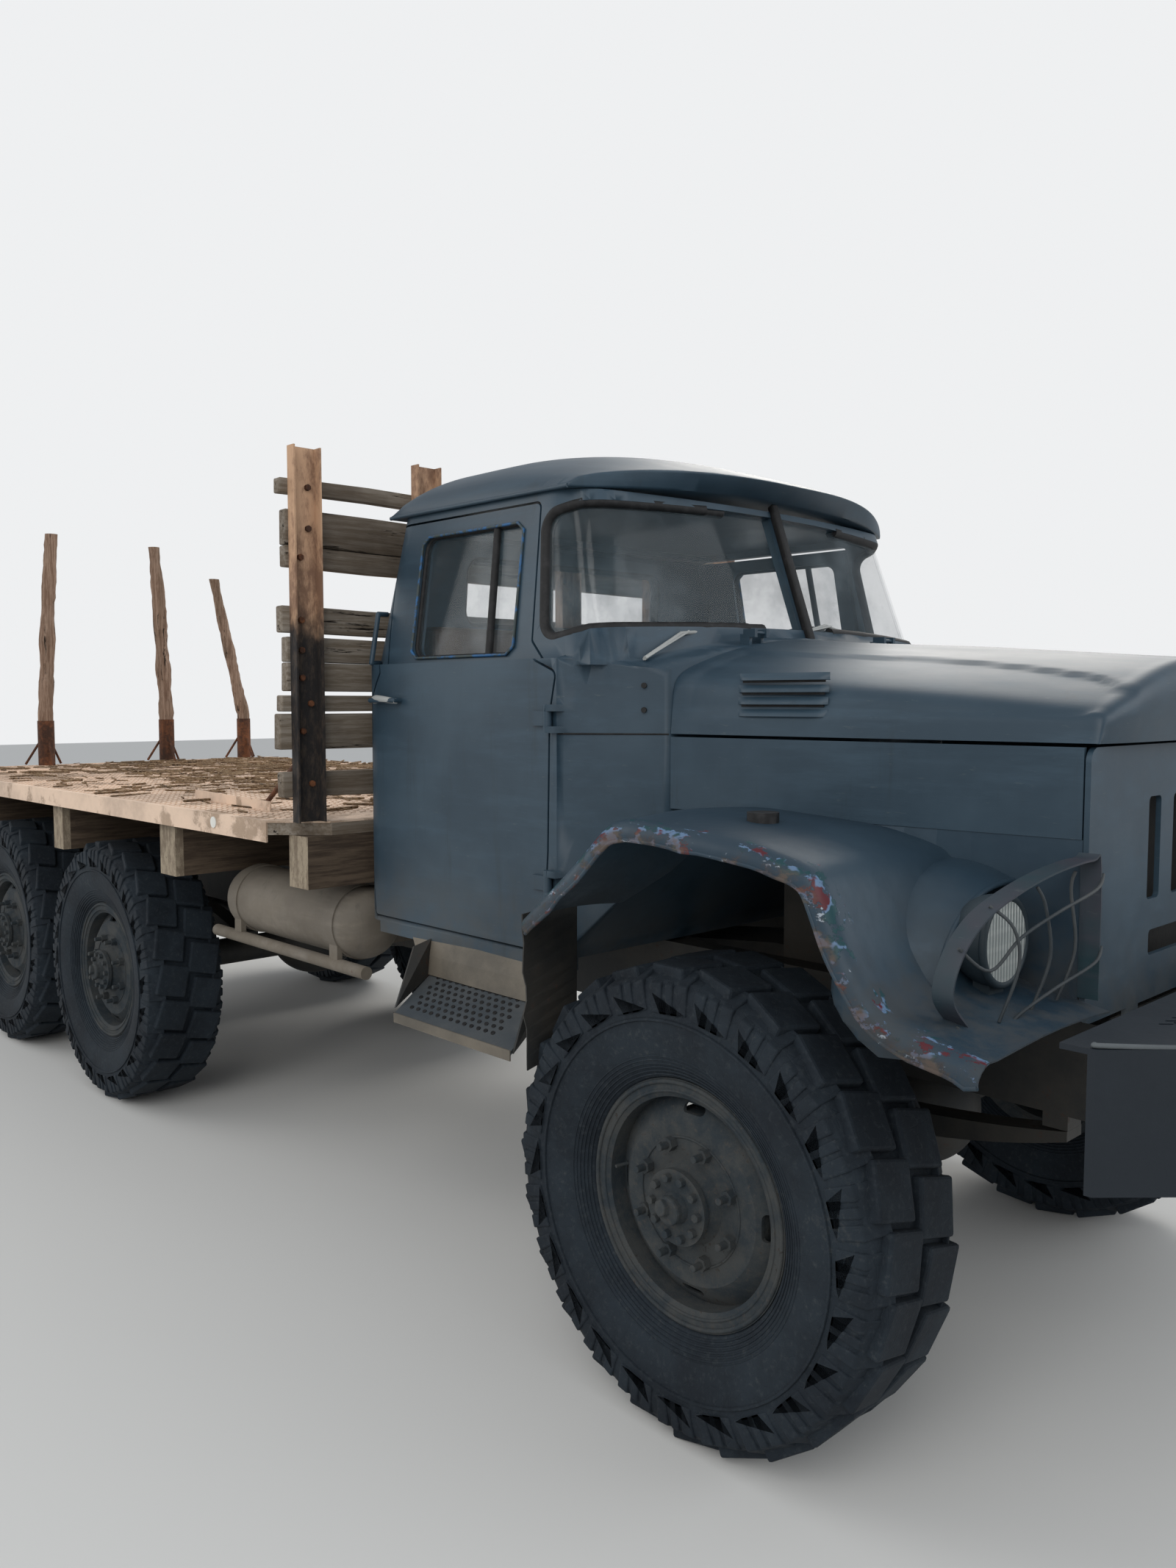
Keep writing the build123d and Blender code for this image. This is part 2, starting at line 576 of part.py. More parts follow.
# Front bumper: folded plate with a tread plate on top, on two brackets
with BuildPart() as front_bumper:
    outer_plan = (
        (BUMPER_END_X, -BUMPER_HALF), (BUMPER_FRONT_X, -BUMPER_BEND_Y), (BUMPER_FRONT_X, BUMPER_BEND_Y),
        (BUMPER_END_X, BUMPER_HALF), (BUMPER_END_X - 60, BUMPER_HALF), (BUMPER_END_X - 60, -BUMPER_HALF),
    )
    inner_plan = (
        (BUMPER_END_X - 1.4 * BUMPER_T, -BUMPER_HALF - 1), (BUMPER_FRONT_X - BUMPER_T, -BUMPER_BEND_Y),
        (BUMPER_FRONT_X - BUMPER_T, BUMPER_BEND_Y), (BUMPER_END_X - 1.4 * BUMPER_T, BUMPER_HALF + 1),
        (BUMPER_END_X - 80, BUMPER_HALF + 1), (BUMPER_END_X - 80, -BUMPER_HALF - 1),
    )
    with BuildSketch(Plane.XY.offset(BUMPER_LOW)):
        with BuildLine():
            Polyline(*outer_plan, close=True)
        make_face()
    extrude(amount=BUMPER_TOP - BUMPER_LOW)
    with BuildSketch(Plane.XY.offset(BUMPER_LOW - 1)):
        with BuildLine():
            Polyline(*inner_plan, close=True)
        make_face()
    extrude(amount=BUMPER_TOP - BUMPER_LOW - BUMPER_T + 1, mode=Mode.SUBTRACT)
    bracket_back = FRAME_FRONT_X + SEAT
    bracket_h = RAIL_TOP - BUMPER_LOW
    for side, tag in SIDES:
        with Locations(((bracket_back + BUMPER_FRONT_X - BUMPER_T) / 2 + 1, side * RAIL_Y, BUMPER_LOW + bracket_h / 2)):
            Box(BUMPER_FRONT_X - BUMPER_T - bracket_back + 2, 60, bracket_h)
front_bumper.part.label = "front_bumper"
export_step(front_bumper.part, "parts/front_bumper.step")

# Engine as one plain block, and the radiator on its cross member
with BuildPart() as engine_block:
    with Locations(((ENGINE_FRONT_X + ENGINE_REAR_X) / 2, 0, (ENGINE_LOW + ENGINE_TOP) / 2)):
        Box(ENGINE_FRONT_X - ENGINE_REAR_X, 2 * ENGINE_HALF_W, ENGINE_TOP - ENGINE_LOW)
    # Mounting feet on the rails' inner faces
    with Locations((FRONT_X + 100, 0, RAIL_TOP + SEAT + 20)):
        Box(90, 2 * RAIL_OUT_Y - 20, 40)
engine_block.part.label = "engine_block"
export_step(engine_block.part, "parts/engine_block.step")

with BuildPart() as radiator:
    with Locations((RADIATOR_X, 0, RAIL_TOP + SEAT + RADIATOR_H / 2)):
        Box(RADIATOR_T, 2 * RADIATOR_HALF_W, RADIATOR_H)
radiator.part.label = "radiator"
export_step(radiator.part, "parts/radiator.step")

# Gearbox, transfer case and the shafts to the three axles
NOSE_Z = WHEEL_Z + NOSE_RISE
gearbox_front = ENGINE_REAR_X - SEAT
case_front = TRANSFER_X + TRANSFER_HALF
case_rear = TRANSFER_X - TRANSFER_HALF
SHAFTS = (
    # start x, start z, x of the end, z of the end
    (gearbox_front - GEARBOX_LEN + 5, 850, case_front - 5, 850),
    (case_front - 5, 760, FRONT_X - NOSE_REACH - SEAT, NOSE_Z),
    (case_rear + 5, 760, MID_X + NOSE_REACH + SEAT, NOSE_Z),
)
with BuildPart() as gearboxes:
    with BuildSketch(Plane.XZ.offset(-140)):
        with BuildLine():
            Polyline(
                (gearbox_front, 755), (gearbox_front, 985), (gearbox_front - 160, 985),
                (gearbox_front - GEARBOX_LEN, 940), (gearbox_front - GEARBOX_LEN, 770),
                close=True,
            )
        make_face()
    extrude(amount=280)
    with Locations((TRANSFER_X, 0, 800)):
        Box(2 * TRANSFER_HALF, 440, 360)
    # Arms that hang the transfer case between the rails
    with Locations((TRANSFER_X, 0, 940)):
        Box(90, 2 * (RAIL_OUT_Y - RAIL_T - SEAT), 60)
    for start_x, start_z, nose_x, end_z in SHAFTS:
        # A tilted shaft stops where the edge of its end meets the nose
        end_x = nose_x - (nose_x - start_x) / abs(nose_x - start_x) * SHAFT_R * abs((end_z - start_z) / (nose_x - start_x))
        with BuildLine():
            Line((start_x, 0, start_z), (end_x, 0, end_z))
        with BuildSketch(Plane(origin=(start_x, 0, start_z), z_dir=(end_x - start_x, 0, end_z - start_z))):
            Circle(SHAFT_R)
        sweep()
    with BuildSketch(Plane.YZ.offset(REAR_X + NOSE_REACH + SEAT)):
        with Locations((0, NOSE_Z)):
            Circle(SHAFT_R)
    extrude(amount=BOGIE - NOSE_REACH - BANJO_R - 2 * SEAT)
gearboxes.part.label = "gearboxes"
export_step(gearboxes.part, "parts/gearboxes.step")


def rod(points, radius):
    """A bent round rod through the points."""
    with BuildPart() as tube:
        for start, end in zip(points, points[1:]):
            run = Vector(*end) - Vector(*start)
            with BuildSketch(Plane(origin=start, z_dir=run)):
                Circle(radius)
            extrude(amount=run.length)
        if len(points) > 2:
            with Locations(*points[1:-1]):
                Sphere(radius)
    return tube.part


# Cab
def cab_plan(rear_x, half_w, corner_x, front_x, front_r, inset):
    """Plan of the upper cab: straight back and sides, rounded corners and a bowed front."""
    with BuildSketch() as plan:
        with BuildLine():
            Polyline((corner_x - inset, inset - half_w), (rear_x + inset, inset - half_w),
                     (rear_x + inset, half_w - inset), (corner_x - inset, half_w - inset))
            ThreePointArc((corner_x - inset, half_w - inset), (front_x - inset, 0), (corner_x - inset, inset - half_w))
        make_face()
        corners = plan.vertices().sort_by(Axis.X)
        fillet(corners[:2], CAB_CORNER_R - inset)
        fillet(corners[2:], front_r - inset)
    return plan.sketch


def cowl_section(half_w, low, side_z, top, inset):
    """Cross section of the cowl: straight sides under a crowned top."""
    side_y = half_w - inset
    Polyline((-side_y, side_z - inset), (-side_y, low + inset), (side_y, low + inset), (side_y, side_z - inset))
    ThreePointArc((side_y, side_z - inset), (0, top - inset), (-side_y, side_z - inset))


def cab_form(inset):
    """The closed form of the cab below its roof, pulled in by inset on every side."""
    with BuildPart() as form:
        with BuildSketch(Plane.XY.offset(CAB_BOTTOM + inset)):
            with Locations(((CAB_REAR_X + COWL_REAR_X) / 2, 0)):
                body = Rectangle(COWL_REAR_X - CAB_REAR_X - 2 * inset, 2 * (CAB_HALF_W - inset))
            fillet(body.vertices().sort_by(Axis.X)[:2], CAB_CORNER_R - inset)
        extrude(amount=BELT_Z - CAB_BOTTOM - inset)
        # Toe board, cowl and cowl sides, drawn in to the hood's rear edge
        with BuildSketch(Plane.YZ.offset(COWL_REAR_X - inset - 1)):
            with BuildLine():
                cowl_section(CAB_HALF_W, CAB_BOTTOM, BELT_Z, COWL_TOP + 45, inset)
            make_face()
        with BuildSketch(Plane.YZ.offset(COWL_X - inset)):
            with BuildLine():
                cowl_section(COWL_HALF_W, COWL_LOW, COWL_SIDE_Z, COWL_TOP, inset)
            make_face()
        loft()
        with BuildSketch(Plane.XY.offset(BELT_Z - 20)):
            add(cab_plan(CAB_REAR_X, BELT_HALF_W, BELT_CORNER_X, BELT_FRONT_X, BELT_R, inset))
        with BuildSketch(Plane.XY.offset(HEADER_Z)):
            add(cab_plan(HEADER_REAR_X, HEADER_HALF_W, HEADER_CORNER_X, HEADER_FRONT_X, HEADER_R, inset))
        loft()
    return form.part


DOOR_OUTLINE = (
    # x from the front axle, z; starts at the bottom of the front edge and runs up
    (-661, 1030), (-640, 1309), (-632, 1690), (-607, 1800), (-690, 1832), (-752, 1890),
    (-788, 2285), (-1490, 2285), (-1439, 1812), (-1497, 1725), (-1515, 1200), (-1483, 1030),
)
WINDOW_OUTLINE = (
    # x from the front axle, z
    (-1318, 1856), (-822, 1856), (-846, 2238), (-1335, 2238),
)
SCREEN_OUTLINE = (
    # x from the front axle, z, seen from the side
    (-712, 1884), (-774, 2250), (-560, 2296), (-300, 2296), (-300, 1948), (-403, 1944),
)


def door_prism(grow):
    """Everything behind or before the door's outline as seen from the side."""
    with BuildPart() as prism:
        with BuildSketch(Plane.XZ.offset(-1000)) as outline:
            with BuildLine():
                Polyline(*[(FRONT_X + x, z) for x, z in DOOR_OUTLINE], close=True)
            make_face()
            fillet(outline.vertices(), 18)
            if grow:
                offset(amount=grow)
        extrude(amount=2000)
        # The floor between the doors stays whole
        with Locations((CAB_REAR_X, 0, FLOOR_Z - 70)):
            Box(4000, 2 * (CAB_HALF_W - CAB_WALL - max(grow, 0)), 200, mode=Mode.SUBTRACT)
    return prism.part


def window_prism(shrink):
    with BuildPart() as prism:
        with BuildSketch(Plane.XZ.offset(-1000)) as outline:
            with BuildLine():
                Polyline(*[(FRONT_X + x, z) for x, z in WINDOW_OUTLINE], close=True)
            make_face()
            fillet(outline.vertices(), 45)
            if shrink:
                offset(amount=-shrink)
        extrude(amount=2000)
    return prism.part


def screen_prism(shrink):
    """The two halves of the windscreen and the rear window."""
    with BuildPart() as prism:
        with BuildSketch(Plane.XZ.offset(-1000)) as outline:
            with BuildLine():
                Polyline(*[(FRONT_X + x, z) for x, z in SCREEN_OUTLINE], close=True)
            make_face()
            fillet(outline.vertices().sort_by(Axis.X)[:2], 60)
            if shrink:
                offset(amount=-shrink)
        extrude(amount=2000)
        with Locations((FRONT_X - 500, 0, HEADER_Z - 200)):
            Box(900, SCREEN_POST + 2 * shrink, 900, mode=Mode.SUBTRACT)
        with BuildSketch(Plane.YZ.offset(CAB_REAR_X - 10)):
            with Locations((0, (REAR_WINDOW_LOW + REAR_WINDOW_HIGH) / 2)):
                RectangleRounded(2 * (REAR_WINDOW_HALF - shrink), REAR_WINDOW_HIGH - REAR_WINDOW_LOW - 2 * shrink, 60)
        extrude(amount=150)
    return prism.part


cab_outer = cab_form(0)
cab_inner = cab_form(CAB_WALL)
skin_inner = cab_form(SKIN_T)
glass_outer = cab_form(GLASS_IN)
glass_inner = cab_form(GLASS_IN + GLASS_T)

HOOD_HINGE_Y = 330.0
HOOD_HINGE_Z = COWL_TOP + 12.0
HOOD_HINGE_X = COWL_X + CLEAR / 2
HOOD_EYE_L = 40.0
GRAB_LOW = 1846.0
GRAB_HIGH = 2004.0
GRAB_X = FRONT_X - 1492.0
grab_rods = []
for side, tag in SIDES:
    lean = (BELT_HALF_W - HEADER_HALF_W) / (HEADER_Z - BELT_Z)
    low_y = BELT_HALF_W - lean * (GRAB_LOW - BELT_Z) - 6
    high_y = BELT_HALF_W - lean * (GRAB_HIGH - BELT_Z) - 6
    grab_rods.append(rod((
        (GRAB_X, side * low_y, GRAB_LOW), (GRAB_X, side * (low_y + 36), GRAB_LOW),
        (GRAB_X, side * (high_y + 36), GRAB_HIGH), (GRAB_X, side * high_y, GRAB_HIGH),
    ), 8))
with BuildPart() as cab_shell:
    add(cab_outer)
    add(cab_inner, mode=Mode.SUBTRACT)
    add(door_prism(CLEAR), mode=Mode.SUBTRACT)
    add(screen_prism(0), mode=Mode.SUBTRACT)
    # The roof panel closes the top
    with BuildSketch(Plane.XY.offset(HEADER_Z - 2 * CAB_WALL)):
        add(cab_plan(HEADER_REAR_X, HEADER_HALF_W, HEADER_CORNER_X, HEADER_FRONT_X, HEADER_R, CAB_WALL))
    extrude(amount=3 * CAB_WALL, mode=Mode.SUBTRACT)
    # Sills, grab handles and the lugs of the hood hinges with their pins
    for grab in grab_rods:
        add(grab)
    for side, tag in SIDES:
        sill_len = COWL_REAR_X - CAB_REAR_X - CAB_CORNER_R
        with Locations((COWL_REAR_X - sill_len / 2, side * (CAB_HALF_W - SILL_W / 2), (SILL_Z + CAB_BOTTOM + 4) / 2)):
            Box(sill_len, SILL_W, CAB_BOTTOM + 4 - SILL_Z)
        for lug_y in (HOOD_HINGE_Y - HOOD_EYE_L / 2 - SEAT - 6, HOOD_HINGE_Y + HOOD_EYE_L / 2 + SEAT + 6):
            with Locations((HOOD_HINGE_X - 12, side * lug_y, HOOD_HINGE_Z - 1)):
                Box(42, 12, 24)
            with Locations((COWL_X - 24, side * lug_y, HOOD_HINGE_Z - 28)):
                Box(34, 12, 50)
        with Locations((HOOD_HINGE_X, side * HOOD_HINGE_Y, HOOD_HINGE_Z)):
            Cylinder(5, HOOD_EYE_L + 20, rotation=(90, 0, 0))
    # Hinge tabs with their pins, ahead of each door
    for side, tag in SIDES:
        hinge_y = side * (CAB_HALF_W + HINGE_OUT)
        for hinge_z in HINGE_ZS:
            for tab_z in (hinge_z - HINGE_H / 2 - SEAT - TAB_H / 2, hinge_z + HINGE_H / 2 + SEAT + TAB_H / 2):
                with Locations((HINGE_X, hinge_y, tab_z)):
                    Cylinder(HINGE_R, TAB_H)
                with Locations((HINGE_X + 22, hinge_y - side * 19, tab_z)):
                    Box(36, 56, TAB_H)
            with Locations((HINGE_X, hinge_y, hinge_z)):
                Cylinder(HINGE_PIN_R, HINGE_H + TAB_H)
cab_shell.part.label = "cab_shell"
export_step(cab_shell.part, "parts/cab_shell.step")

for side, tag in SIDES:
    hinge_y = side * (CAB_HALF_W + HINGE_OUT)
    with BuildPart() as door:
        add(cab_outer)
        add(skin_inner, mode=Mode.SUBTRACT)
        add(door_prism(0), mode=Mode.INTERSECT)
        with Locations((FRONT_X - 1000, -side * 1000, 1600)):
            Box(2000, 2000, 2000, mode=Mode.SUBTRACT)
    with BuildPart() as door_body:
        add(cab_outer)
        add(cab_inner, mode=Mode.SUBTRACT)
        add(door_prism(-SKIN_LAP), mode=Mode.INTERSECT)
        with Locations((FRONT_X - 1000, -side * 1000, 1600)):
            Box(2000, 2000, 2000, mode=Mode.SUBTRACT)
    handle_y = CAB_HALF_W + 26
    handle = rod((
        (FRONT_X - 1460, side * (CAB_HALF_W - 6), HANDLE_Z), (FRONT_X - 1460, side * handle_y, HANDLE_Z),
        (FRONT_X - 1330, side * handle_y, HANDLE_Z), (FRONT_X - 1330, side * (CAB_HALF_W - 6), HANDLE_Z),
    ), 8)
    with BuildPart() as door_whole:
        add(door.part)
        add(handle)
        add(door_body.part)
        add(window_prism(0), mode=Mode.SUBTRACT)
        # Hinge leaves and eyes
        for hinge_z in HINGE_ZS:
            with Locations((HINGE_X, hinge_y, hinge_z)):
                Cylinder(HINGE_R, HINGE_H)
            with Locations((HINGE_X - 46, side * (CAB_HALF_W + 3), hinge_z)):
                Box(48, 14, HINGE_H)
            with Locations((HINGE_X - 15, side * (CAB_HALF_W + 6.5), hinge_z)):
                Box(30, 7, HINGE_H)
            with Locations((HINGE_X, hinge_y, hinge_z)):
                Cylinder(HINGE_PIN_R + FIT, 2 * HINGE_H, mode=Mode.SUBTRACT)
    door_whole.part.label = "door_" + tag
    export_step(door_whole.part, "parts/door_" + tag + ".step")

    with BuildPart() as door_glass:
        add(glass_outer)
        add(glass_inner, mode=Mode.SUBTRACT)
        add(window_prism(SEAT), mode=Mode.INTERSECT)
        with Locations((FRONT_X - 1000, -side * 1000, 1600)):
            Box(2000, 2000, 2000, mode=Mode.SUBTRACT)
    door_glass.part.label = "door_glass_" + tag
    export_step(door_glass.part, "parts/door_glass_" + tag + ".step")

with BuildPart() as cab_glass:
    add(glass_outer)
    add(glass_inner, mode=Mode.SUBTRACT)
    add(screen_prism(SEAT), mode=Mode.INTERSECT)
cab_glass.part.label = "cab_glass"
export_step(cab_glass.part, "parts/cab_glass.step")


def roof_form(inset):
    """Crowned roof: a cross section and a side view that cut one another, trimmed in plan."""
    half = HEADER_HALF_W + ROOF_EDGE - inset
    top = ROOF_TOP - inset
    base = HEADER_Z + SEAT - (10 if inset else 0)
    rear = HEADER_REAR_X - ROOF_EDGE + inset
    front = BROW_X - inset
    with BuildPart() as form:
        with BuildSketch(Plane.YZ.offset(rear - 50)):
            with BuildLine():
                Polyline((-half, base + 12), (-half, base), (half, base), (half, base + 12))
                ThreePointArc((half, base + 12), (half - 50, top - 92), (half - 165, top - 50))
                ThreePointArc((half - 165, top - 50), (0, top), (165 - half, top - 50))
                ThreePointArc((165 - half, top - 50), (50 - half, top - 92), (-half, base + 12))
            make_face()
        extrude(amount=front - rear + 100)
        with BuildSketch(Plane.XZ.offset(-1000)):
            with BuildLine():
                Line((rear, base), (rear, base + 14))
                ThreePointArc((rear, base + 14), (rear + 45, top - 88), (rear + 150, top - 40))
                ThreePointArc((rear + 150, top - 40), (FRONT_X - 1000, top + 2), (front + 20, top - 86))
                Polyline((front + 20, top - 86), (front + 20, top - 106), (HEADER_FRONT_X - inset, base), (rear, base))
            make_face()
        extrude(amount=2000, mode=Mode.INTERSECT)
        with BuildSketch(Plane.XY.offset(base - 5)) as plan:
            with BuildLine():
                Polyline((BROW_SIDE_X - inset, -half - 4), (rear - 4, -half - 4), (rear - 4, half + 4),
                         (BROW_SIDE_X - inset, half + 4))
                ThreePointArc((BROW_SIDE_X - inset, half + 4), (front, 0), (BROW_SIDE_X - inset, -half - 4))
            make_face()
            fillet(plan.vertices().sort_by(Axis.X)[:2], CAB_CORNER_R - inset)
        extrude(amount=300, mode=Mode.INTERSECT)
    return form.part


roof_outer = roof_form(0)
roof_inner = roof_form(ROOF_T)
with BuildPart() as roof_hollow:
    add(roof_inner)
    with BuildSketch(Plane.XY.offset(HEADER_Z - 10)):
        add(cab_plan(HEADER_REAR_X, HEADER_HALF_W, HEADER_CORNER_X, HEADER_FRONT_X, HEADER_R, CAB_WALL))
    extrude(amount=400, mode=Mode.INTERSECT)
with BuildPart() as cab_roof:
    add(roof_outer)
    add(roof_hollow.part, mode=Mode.SUBTRACT)
cab_roof.part.label = "cab_roof"
export_step(cab_roof.part, "parts/cab_roof.step")

# Seats on the cab floor
SEATS = (
    # y of the middle, width
    (400.0, 480.0),
    (-300.0, 800.0),
)
with BuildPart() as seats:
    for seat_y, seat_w in SEATS:
        with Locations((CAB_REAR_X + CAB_WALL + 330, seat_y, FLOOR_Z + SEAT + 200)):
            cushion = Box(480, seat_w, 400)
        with Locations((CAB_REAR_X + CAB_WALL + 80, seat_y, FLOOR_Z + 640)):
            back = Box(110, seat_w, 560)
    fillet(seats.edges().filter_by(Axis.Y), 30)
seats.part.label = "seats"
export_step(seats.part, "parts/seats.step")

# Dashboard with the steering column, and the steering wheel
COLUMN_TILT = 58.0
STEERING_X = FRONT_X - 880.0
STEERING_Y = 400.0
STEERING_Z = 1850.0
STEERING_R = 225.0
STEERING_RIM = 12.0
COLUMN_LEN = 680.0
column = Plane(origin=(STEERING_X, STEERING_Y, STEERING_Z),
               z_dir=(cos(radians(COLUMN_TILT)), 0, -sin(radians(COLUMN_TILT))))
dash_space = cab_form(CAB_WALL + SEAT)
with BuildPart() as dashboard:
    with Locations((COWL_REAR_X + 70, 0, BELT_Z - 120)):
        Box(130, 2 * CAB_HALF_W, 190)
    add(dash_space, mode=Mode.INTERSECT)
    with Locations((COWL_REAR_X + 15, STEERING_Y, BELT_Z - 280)):
        Box(20, 60, 260)
    with BuildSketch(column.offset(30)):
        Circle(24)
    extrude(amount=COLUMN_LEN)
dashboard.part.label = "dashboard"
export_step(dashboard.part, "parts/dashboard.step")

with BuildPart() as steering_wheel:
    with BuildSketch(column.offset(29)):
        Circle(36)
    extrude(amount=-40)
    with BuildSketch(column):
        for i in range(3):
            with Locations(Location((0, 0, 0), (0, 0, 120 * i + 180))):
                with Locations((STEERING_R / 2, 0)):
                    Rectangle(STEERING_R, 20)
    extrude(amount=8, both=True)
    with BuildSketch(Plane(origin=column.origin, x_dir=column.x_dir, z_dir=column.y_dir)):
        with Locations((STEERING_R, 0)):
            Circle(STEERING_RIM)
    revolve(axis=Axis(column.origin, column.z_dir))
steering_wheel.part.label = "steering_wheel"
export_step(steering_wheel.part, "parts/steering_wheel.step")


# Hood
def hood_section(half_w, low, side_z, top, inset):
    side_y = half_w - inset
    edge_z = side_z - inset - SHOULDER_DROP
    Polyline((HOOD_LEAN - side_y, edge_z), (-side_y, low), (side_y, low), (side_y - HOOD_LEAN, edge_z))
    ThreePointArc((side_y - HOOD_LEAN, edge_z), (side_y - 46, edge_z + 36), (side_y - 130, edge_z + 56))
    ThreePointArc((side_y - 130, edge_z + 56), (0, top - inset), (130 - side_y, edge_z + 56))
    ThreePointArc((130 - side_y, edge_z + 56), (46 - side_y, edge_z + 36), (HOOD_LEAN - side_y, edge_z))


def hood_form(inset, low):
    with BuildPart() as form:
        with BuildSketch(Plane.YZ.offset(HOOD_REAR_X - inset)):
            with BuildLine():
                hood_section(COWL_HALF_W, low, COWL_SIDE_Z, COWL_TOP, inset)
            make_face()
        with BuildSketch(Plane.YZ.offset(HOOD_FRONT_X)):
            with BuildLine():
                hood_section(NOSE_HALF_W - NOSE_INSET, low, HOOD_FRONT_SIDE_Z, HOOD_FRONT_TOP, inset)
            make_face()
        loft()
        # Rounded nose
        with BuildSketch(Plane.XZ.offset(-1000)):
            with BuildLine():
                Polyline((NOSE_X - inset + 12, low), (HOOD_REAR_X - inset, low), (HOOD_REAR_X - inset, 2000),
                         (FRONT_X + 560, 2000), (FRONT_X + 640 - inset, HOOD_FRONT_TOP + 10 - inset))
                ThreePointArc((FRONT_X + 640 - inset, HOOD_FRONT_TOP + 10 - inset),
                              (HOOD_FRONT_X - 45 - inset, HOOD_FRONT_TOP - 55 - inset), (NOSE_X - inset + 12, low))
            make_face()
        extrude(amount=2000, mode=Mode.INTERSECT)
    return form.part


hood_outer = hood_form(0, HOOD_SEAM_Z)
hood_inner = hood_form(HOOD_T, HOOD_SEAM_Z - 5)
side_angle = (COWL_HALF_W - NOSE_HALF_W + NOSE_INSET) / (HOOD_FRONT_X - HOOD_REAR_X)
with BuildPart() as hood:
    add(hood_outer)
    add(hood_inner, mode=Mode.SUBTRACT)
    # Pressed louvres on both sides
    for side, tag in SIDES:
        along = (LOUVRE_X - HOOD_REAR_X) / (HOOD_FRONT_X - HOOD_REAR_X)
        side_z = COWL_SIDE_Z + along * (HOOD_FRONT_SIDE_Z - COWL_SIDE_Z)
        lean = HOOD_LEAN / (side_z - SHOULDER_DROP - HOOD_SEAM_Z)
        side_y = COWL_HALF_W - side_angle * (LOUVRE_X - HOOD_REAR_X) - lean * (LOUVRE_Z - HOOD_SEAM_Z) - LOUVRE_ROOT
        louvre_plane = Plane(origin=(LOUVRE_X, side * side_y, LOUVRE_Z), x_dir=(1, -side * side_angle, 0),
                             z_dir=(side_angle, side, lean))
        with BuildSketch(louvre_plane):
            with GridLocations(1, LOUVRE_PITCH, 1, LOUVRE_COUNT):
                SlotOverall(LOUVRE_LEN, LOUVRE_W)
        extrude(amount=LOUVRE_H + LOUVRE_ROOT)
    # Hinge eyes at the rear edge
    for side, tag in SIDES:
        with Locations((HOOD_HINGE_X, side * HOOD_HINGE_Y, HOOD_HINGE_Z)):
            Cylinder(10, HOOD_EYE_L, rotation=(90, 0, 0))
        with Locations((HOOD_HINGE_X + 32, side * HOOD_HINGE_Y, HOOD_HINGE_Z - 6)):
            Box(64, HOOD_EYE_L, 8)
        with Locations((HOOD_HINGE_X + 50, side * HOOD_HINGE_Y, HOOD_HINGE_Z - 30)):
            Box(28, HOOD_EYE_L, 52)
        with Locations((HOOD_HINGE_X, side * HOOD_HINGE_Y, HOOD_HINGE_Z)):
            Cylinder(5 + FIT, 60, rotation=(90, 0, 0), mode=Mode.SUBTRACT)
hood.part.label = "hood"
export_step(hood.part, "parts/hood.step")

# Side panels under the hood seam
with BuildPart() as hood_sides:
    for side, tag in SIDES:
        slant = (COWL_HALF_W - NOSE_HALF_W) / (GRILLE_X - COWL_X)
        panel = Plane(origin=(COWL_X + SIDE_T * slant + SEAT, side * COWL_HALF_W, SIDE_LOW_Z), x_dir=(1, -side * slant, 0),
                      z_dir=(-slant, -side, 0))
        panel_len = GRILLE_X - COWL_X - SIDE_T * slant - 2 * SEAT
        high = HOOD_SEAM_Z - CLEAR - SIDE_LOW_Z
        with BuildSketch(panel) as outline:
            with BuildLine():
                if panel.y_dir.Z > 0:
                    Polyline((0, 0), (panel_len, 0), (panel_len, high), (0, high), close=True)
                else:
                    Polyline((0, 0), (panel_len, 0), (panel_len, -high), (0, -high), close=True)
            make_face()
        extrude(amount=SIDE_T)
hood_sides.part.label = "hood_sides"
export_step(hood_sides.part, "parts/hood_sides.step")

# Grille panel on two feet
with BuildPart() as grille_panel:
    with BuildSketch(Plane.YZ.offset(GRILLE_X)):
        with Locations((0, (GRILLE_LOW + HOOD_SEAM_Z - CLEAR) / 2)):
            RectangleRounded(2 * NOSE_HALF_W, HOOD_SEAM_Z - CLEAR - GRILLE_LOW, 30)
        for side, tag in SIDES:
            with Locations((side * RAIL_Y, (RAIL_TOP + SEAT + GRILLE_LOW) / 2 + 1)):
                Rectangle(60, GRILLE_LOW - RAIL_TOP - SEAT + 2)
        with Locations((0, (GRILLE_SLOT_LOW + GRILLE_SLOT_HIGH) / 2)):
            with GridLocations(GRILLE_PITCH, 1, GRILLE_SLOTS, 1):
                RectangleRounded(GRILLE_SLOT_W, GRILLE_SLOT_HIGH - GRILLE_SLOT_LOW, 12, mode=Mode.SUBTRACT)
        with Locations((0, GRILLE_LOW_SLOT_Z)):
            with GridLocations(GRILLE_LOW_SLOT_W + 40, 1, 2, 1):
                RectangleRounded(GRILLE_LOW_SLOT_W, GRILLE_LOW_SLOT_H, 12, mode=Mode.SUBTRACT)
    extrude(amount=GRILLE_T)
grille_panel.part.label = "grille_panel"
export_step(grille_panel.part, "parts/grille_panel.step")

# Front fenders: a folded flat-topped arch with an outer lip, fitted to the hood sides
FENDER_LINE = (
    # x from the front axle, z of the top skin
    (-455, 1185), (-262, 1345), (-132, 1467), (274, 1440), (442, 1397), (505, 1252), (592, 1131), (795, 1094),
)


def fender_z(x):
    """Height of the fender's top skin at x."""
    for (x0, z0), (x1, z1) in zip(FENDER_LINE, FENDER_LINE[1:]):
        if x0 <= x - FRONT_X <= x1:
            return z0 + (z1 - z0) * (x - FRONT_X - x0) / (x1 - x0)


